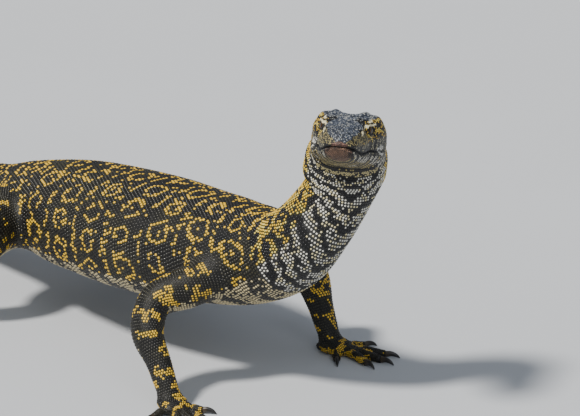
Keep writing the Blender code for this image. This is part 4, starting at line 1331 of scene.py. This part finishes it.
def scale_colours(data, chance):
    spot, _, _, s, t, girth, patch, normal = data
    colour = np.zeros((len(spot), 3))
    for kind, paint in PAINTS.items():
        m = patch[:, 2] == kind
        if m.any():
            colour[m] = paint(*(a[m] for a in (spot, s, t, chance, girth, normal)))
    return colour


def darkened(colour, share, most):
    """Nearly black between scales, but about half as bright in the bright strokes."""
    return pick(colour[:, 0] > LINE_RED, colour * 0.55, np.minimum(colour * share, most) + 0.003)


def raise_scales(group, rng, look):
    """One mesh of low domes, one for each root, with dark rims."""
    spot, along, spacing, *_, patch, normal = group.data
    n, kind = len(spot), patch[:, 2].astype(int)
    sides = 7 if group.name in ("head_scales", "neck_scales") else 6
    chance = rng.random(n)
    colour = scale_colours(group.data, chance)
    group.colour = colour
    along = square_to(normal, along)
    across = np.cross(normal, along)
    length = spacing * DRAWN_OUT[kind] * FILLS[kind] * rng.uniform(0.92, 1.0, n) * 0.5
    width = spacing * FILLS[kind] * rng.uniform(0.88, 0.96, n) * 0.5
    height = spacing * RISES[kind] * rng.uniform(0.85, 1.1, n)
    angle = even_turns(sides)
    ring = np.stack([np.cos(angle), np.sin(angle)], 1)
    points, shade = [], []
    for radius, rise in DOME:
        x, y = (ring * radius).T
        flat_steps = (length[:, None] * x, along), (width[:, None] * y, across)
        points.append(spread(spot, *flat_steps, ((height * rise)[:, None], normal)))
        shade.append(np.full((n, sides), float(rise > 0)))
    points.append((spot + along * (length * DOME_SHIFT)[:, None] + normal * height[:, None])[:, None])
    shade.append(np.ones((n, 1)))
    points, shade = np.concatenate(points, 1), np.concatenate(shade, 1)
    points[..., 2] = np.maximum(points[..., 2], SCALE_LIFT)
    per = 2 * sides + 1
    k, after = np.arange(sides), (np.arange(sides) + 1) % sides
    quads = np.stack([k, after, sides + after, sides + k], 1)
    tris = np.stack([sides + k, sides + after, np.full(sides, 2 * sides)], 1)
    first = (np.arange(n) * per)[:, None, None]
    quads, tris = (first + quads).reshape(-1, 4), (first + tris).reshape(-1, 3)
    made = link_mesh(group.name, points.reshape(-1, 3), [quads, tris])
    rim = darkened(colour, 0.10, 0.03)
    vary = rng.uniform(0.82, 1.12, n)[:, None]
    tint = rim[:, None] * (1 - shade[..., None]) + (colour * vary)[:, None] * shade[..., None]
    store_tint(made, tint.reshape(-1, 3))
    local = np.concatenate([*(ring * radius for radius, _ in DOME), [[0, 0]]]) * DOME_ON_UNWRAP
    flat_uv = np.clip(patch[:, None, :2] + local[None], 0.0, 1.0).reshape(-1, 2)
    corner = read_array(made.data.loops, "vertex_index", 1, np.int32)[:, 0]
    layer = made.data.uv_layers.new(name="OFBake")
    layer.data.foreach_set("uv", flat_uv[corner].astype(np.float32).ravel())
    made.data.materials.append(look)
    return made


def paint_skin(skin, groups):
    """Gives each point of the skin the colour of the scale that stands nearest, darker."""
    roots = tree_of(np.concatenate([g.data[0] for g in groups]))
    colours = np.concatenate([g.colour for g in groups])
    tint = colours[[roots.find(p)[1] for p in coordinates(skin)]]
    store_tint(skin, darkened(tint, 0.06, 0.024))


# Materials


def feed(node, inputs):
    """Sets a node's inputs, each to a value or to the output that leads to it."""
    for key, value in inputs.items():
        if isinstance(value, bpy.types.NodeSocket):
            node.id_data.links.new(value, node.inputs[key])
        else:
            node.inputs[key].default_value = value
    return node


def add_node(tree, kind, inputs, **settings):
    node = tree.nodes.new("ShaderNode" + kind)
    for key, value in settings.items():
        setattr(node, key, value)
    return feed(node, inputs)


def new_material(name, roughness):
    """A material, its nodes, its shader, and the place on the object as a texture's vector."""
    made = bpy.data.materials.new(name)
    made.use_nodes = True
    tree = made.node_tree
    shader = feed(tree.nodes["Principled BSDF"], {"Roughness": roughness})
    return made, tree, shader, add_node(tree, "TexCoord", {}).outputs["Object"]


def stored(tree, name, output="Fac"):
    return add_node(tree, "Attribute", {}, attribute_name=name).outputs[output]


def noise(tree, place, scale, detail, **more):
    inputs = {"Scale": scale, "Detail": detail, "Vector": place, **more}
    return add_node(tree, "TexNoise", inputs).outputs["Fac"]


def colour_ramp(tree, level, stops):
    """Colours along a level, from the position and colour of each stop."""
    node = add_node(tree, "ValToRGB", {"Fac": level})
    elements = node.color_ramp.elements
    for i, (position, colour) in enumerate(stops):
        element = elements[i] if i < 2 else elements.new(position)
        element.position, element.color = position, (*colour, 1)
    return node.outputs["Color"]


def map_range(tree, level, start, end, low, high):
    inputs = {"From Min": start, "From Max": end, "To Min": low, "To Max": high, "Value": level}
    return add_node(tree, "MapRange", inputs).outputs["Result"]


def relief(tree, height, strength, distance):
    node = add_node(tree, "Bump", {"Strength": strength, "Distance": distance, "Height": height})
    return node.outputs["Normal"]


def hide_material(name, roughness, grain, depth, coat):
    """Hide coloured by the stored tint, with fine mottling, pores and uneven gloss."""
    made, tree, shader, place = new_material(name, roughness)
    mottle = noise(tree, place, 260.0, 4.0, Roughness=0.6)
    level = map_range(tree, mottle, 0.3, 0.7, 0.78, 1.12)
    inputs = {"Factor": 1.0, "A": stored(tree, "Tint", "Color"), "B": level}
    mixed = add_node(tree, "Mix", inputs, data_type="RGBA", blend_type="MULTIPLY")
    pores = add_node(tree, "TexVoronoi", {"Scale": grain, "Vector": place})
    feed(shader, {
        "Base Color": mixed.outputs["Result"],
        "Roughness": map_range(tree, mottle, 0.35, 0.65, roughness - 0.09, roughness + 0.10),
        "Normal": relief(tree, pores.outputs["Distance"], 0.5, depth),
        "Coat Weight": coat,
        "Coat Roughness": 0.15,
        "Specular IOR Level": 0.32,
    })
    return made


def eye_material():
    """Dark pupil in a golden brown iris with fine spokes, dark towards the lids, under a clear gloss."""
    made, tree, shader, place = new_material("eye_wet", 0.06)
    spokes = noise(tree, place, 1400.0, 3.0)
    shift = add_node(tree, "Math", {0: spokes, 1: 0.10, 2: stored(tree, "Polar")}, operation="MULTIPLY_ADD")
    iris = colour_ramp(tree, shift.outputs["Value"], (
        (0.245, (0.002, 0.002, 0.002)),
        (0.275, (0.17, 0.085, 0.016)),
        (0.31, (0.034, 0.017, 0.006)),
        (0.45, (0.018, 0.010, 0.005)),
        (0.56, (0.004, 0.004, 0.004)),
    ))
    feed(shader, {"Base Color": iris, "Specular IOR Level": 0.40})
    return made


def horn_material():
    """Near-black horn, browner at the root, with lengthwise grain."""
    made, tree, shader, place = new_material("horn_dark", 0.34)
    grain = noise(tree, place, 700.0, 5.0, Distortion=0.6)
    tone = add_node(tree, "Math", {0: grain, 1: 0.35, 2: stored(tree, "Share")}, operation="MULTIPLY_ADD")
    stops = ((0.10, (0.075, 0.055, 0.035)), (0.60, (0.012, 0.011, 0.010)))
    colours = colour_ramp(tree, tone.outputs["Value"], stops)
    feed(shader, {"Base Color": colours, "Normal": relief(tree, grain, 0.3, 0.0001)})
    return made


def floor_material():
    made, tree, shader, place = new_material("floor_pale", 0.75)
    stops = ((0.0, (0.50, 0.52, 0.55)), (1.0, (0.54, 0.56, 0.59)))
    feed(shader, {"Base Color": colour_ramp(tree, noise(tree, place, 3.0, 3.0), stops)})
    return made


# Eyes, claws, floor and light


def make_eye(side, look):
    """A round eye with a slight bulge in front, as large as the solid."""
    centre, facing, across, upward = eye_frame(side)
    rings, sides = 28, 40
    polar = np.linspace(0, math.pi, rings + 2)[1:-1]
    turn = even_turns(sides)
    radius = EYE_RADIUS * (1 + EYE_BULGE * bump(polar, 0.0, 0.55))
    out = (radius * np.sin(polar))[:, None]
    points = (
        centre
        + (out * np.cos(turn))[..., None] * across
        + (out * np.sin(turn))[..., None] * upward
        + (radius * np.cos(polar))[:, None, None] * facing
    )
    flat, quads, tris = tube_parts([points])
    flat[-2] = centre + facing * EYE_RADIUS * (1 + EYE_BULGE)
    flat[-1] = centre - facing * EYE_RADIUS
    made = face_outwards(link_mesh("eye_left_wet" if side > 0 else "eye_right_wet", flat, [quads, tris]))
    q = unit(coordinates(made) - centre)
    store_values(made, "Polar", np.arccos(np.clip(q @ facing, -1, 1)) / 1.5)
    made.data.materials.append(look)
    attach(made, "root")
    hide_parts("eye_left" if side > 0 else "eye_right")


def make_claws(name, ends, look):
    """The five claws of one foot."""
    points, quads, tris, first = [], [], [], 0
    rings, sides = 14, 14
    for end in ends:
        p, q, t = limb_parts(claw_limb(*end), rings, sides)
        points.append(p)
        quads.append(q + first)
        tris.append(t + first)
        first += len(p)
    made = link_mesh(f"{name}_claws", np.concatenate(points), [np.concatenate(quads), np.concatenate(tris)])
    face_outwards(made)
    share = np.concatenate([np.repeat(np.linspace(0, 1, rings), sides), [0, 1]])
    store_values(made, "Share", np.tile(share, len(ends)))
    made.data.materials.append(look)
    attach(made, "root")
    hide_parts(*(f"{name}_claw_{i}" for i in range(1, 6)))


def make_floor():
    size, below = 60.0, -0.05 * MM
    points = np.array([(x * size, y * size, below) for x, y in ((-1, -1), (1, -1), (1, 1), (-1, 1))])
    floor = link_mesh("floor", points, [np.array([[0, 1, 2, 3]])], False)
    floor.data.materials.append(floor_material())


def make_light():
    world = bpy.data.worlds.new("studio")
    bpy.context.scene.world = world
    world.use_nodes = True
    feed(world.node_tree.nodes["Background"], {"Color": (0.80, 0.86, 0.95, 1), "Strength": 0.34})
    for name, power, soft, azimuth, height, colour in (
        ("key", 5.2, 8.0, 272.0, 52.0, (1.0, 0.96, 0.90)),
        ("fill", 0.8, 40.0, 330.0, 35.0, (0.90, 0.95, 1.0)),
    ):
        data = bpy.data.lights.new(name, "SUN")
        data.energy, data.angle, data.color = power, math.radians(soft), colour
        back = away_at(math.radians(azimuth), math.radians(height))
        add_object(name, data).rotation_euler = back.to_track_quat("Z", "Y").to_euler()


def spacing_body(s):
    return float(np.interp(s, SPACING_AT, SPACING)) * MM


def build():
    body = Body()
    MARKS.extend(mark_paths(body))
    rng = np.random.default_rng(11)
    limbs, legs = [], {}
    dense = FULL_DENSITY
    for name, (rows, foot, step) in LEGS.items():
        side = 1 if name.endswith("left") else -1
        leg, ankle = leg_limb(rows, side, step)
        palm, toes, ends = foot_limbs(ankle, side, foot)
        legs[name] = (leg, palm, toes, ends)
        grids = [LEG_GRID, PALM_GRID] + [TOE_GRID] * len(toes)
        for limb, (rings, sides) in zip((leg, palm, *toes), grids):
            limbs.append((limb, int(rings * dense), int(sides * dense)))
    skin = make_skin(body, limbs)
    groups = []
    for name, start, end, kind in (
        ("head_scales", 0.0003, HEAD_END, HEAD),
        ("neck_scales", HEAD_END, NECK_END, NECK),
        ("trunk_front_scales", NECK_END, TRUNK_SPLIT, TRUNK),
        ("trunk_rear_scales", TRUNK_SPLIT, VENT, TRUNK),
        ("tail_front_scales", VENT, TAIL_SPLIT, TAIL),
        ("tail_rear_scales", TAIL_SPLIT, body.length - 0.002, TAIL),
    ):
        group = Scales(name)
        if kind == HEAD:
            head_details(body, group, surface_tree(skin))
        rows_on(body, group, start, end, spacing_body, kind, WHOLE)
        groups.append(group)
    for name, (leg, palm, toes, _) in legs.items():
        group = Scales(f"leg_{name}_scales")
        rows_on(leg, group, 0.012, leg.length, lambda s: LEG_SPACING, LEG, WHOLE)
        groups.append(group)
        group = Scales(f"foot_{name}_scales")
        box = (MARGIN, MARGIN, PALM_END, WHOLE[3])
        rows_on(palm, group, 0.0005, palm.length - 0.0005, lambda s: PALM_SPACING, FOOT, box)
        for i, toe in enumerate(toes):
            left = TOE_START + TOE_STEP * i
            box = (left, MARGIN, left + TOE_WIDE, WHOLE[3])
            rows_on(toe, group, 0.002, toe.length - 0.0003, lambda s: TOE_SPACING, FOOT, box)
        groups.append(group)
    settle(groups, skin, rng)
    scale_look = hide_material("scales_hide", 0.30, 2600.0, 0.00005, 0.06)
    skin_look = hide_material("skin_hide", 0.50, 1500.0, 0.00030, 0.0)
    for group in groups:
        made = raise_scales(group, rng, scale_look)
        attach(made, "root")
    paint_skin(skin, groups)
    skin.data.materials.clear()
    skin.data.materials.append(skin_look)
    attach(skin, "root")
    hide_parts(*(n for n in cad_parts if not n.startswith("eye") and "claw" not in n))
    eye_look, horn_look = eye_material(), horn_material()
    for side in (-1, 1):
        make_eye(side, eye_look)
    for name, (_, _, _, ends) in legs.items():
        make_claws(name, ends, horn_look)
    make_floor()
    make_light()


build()
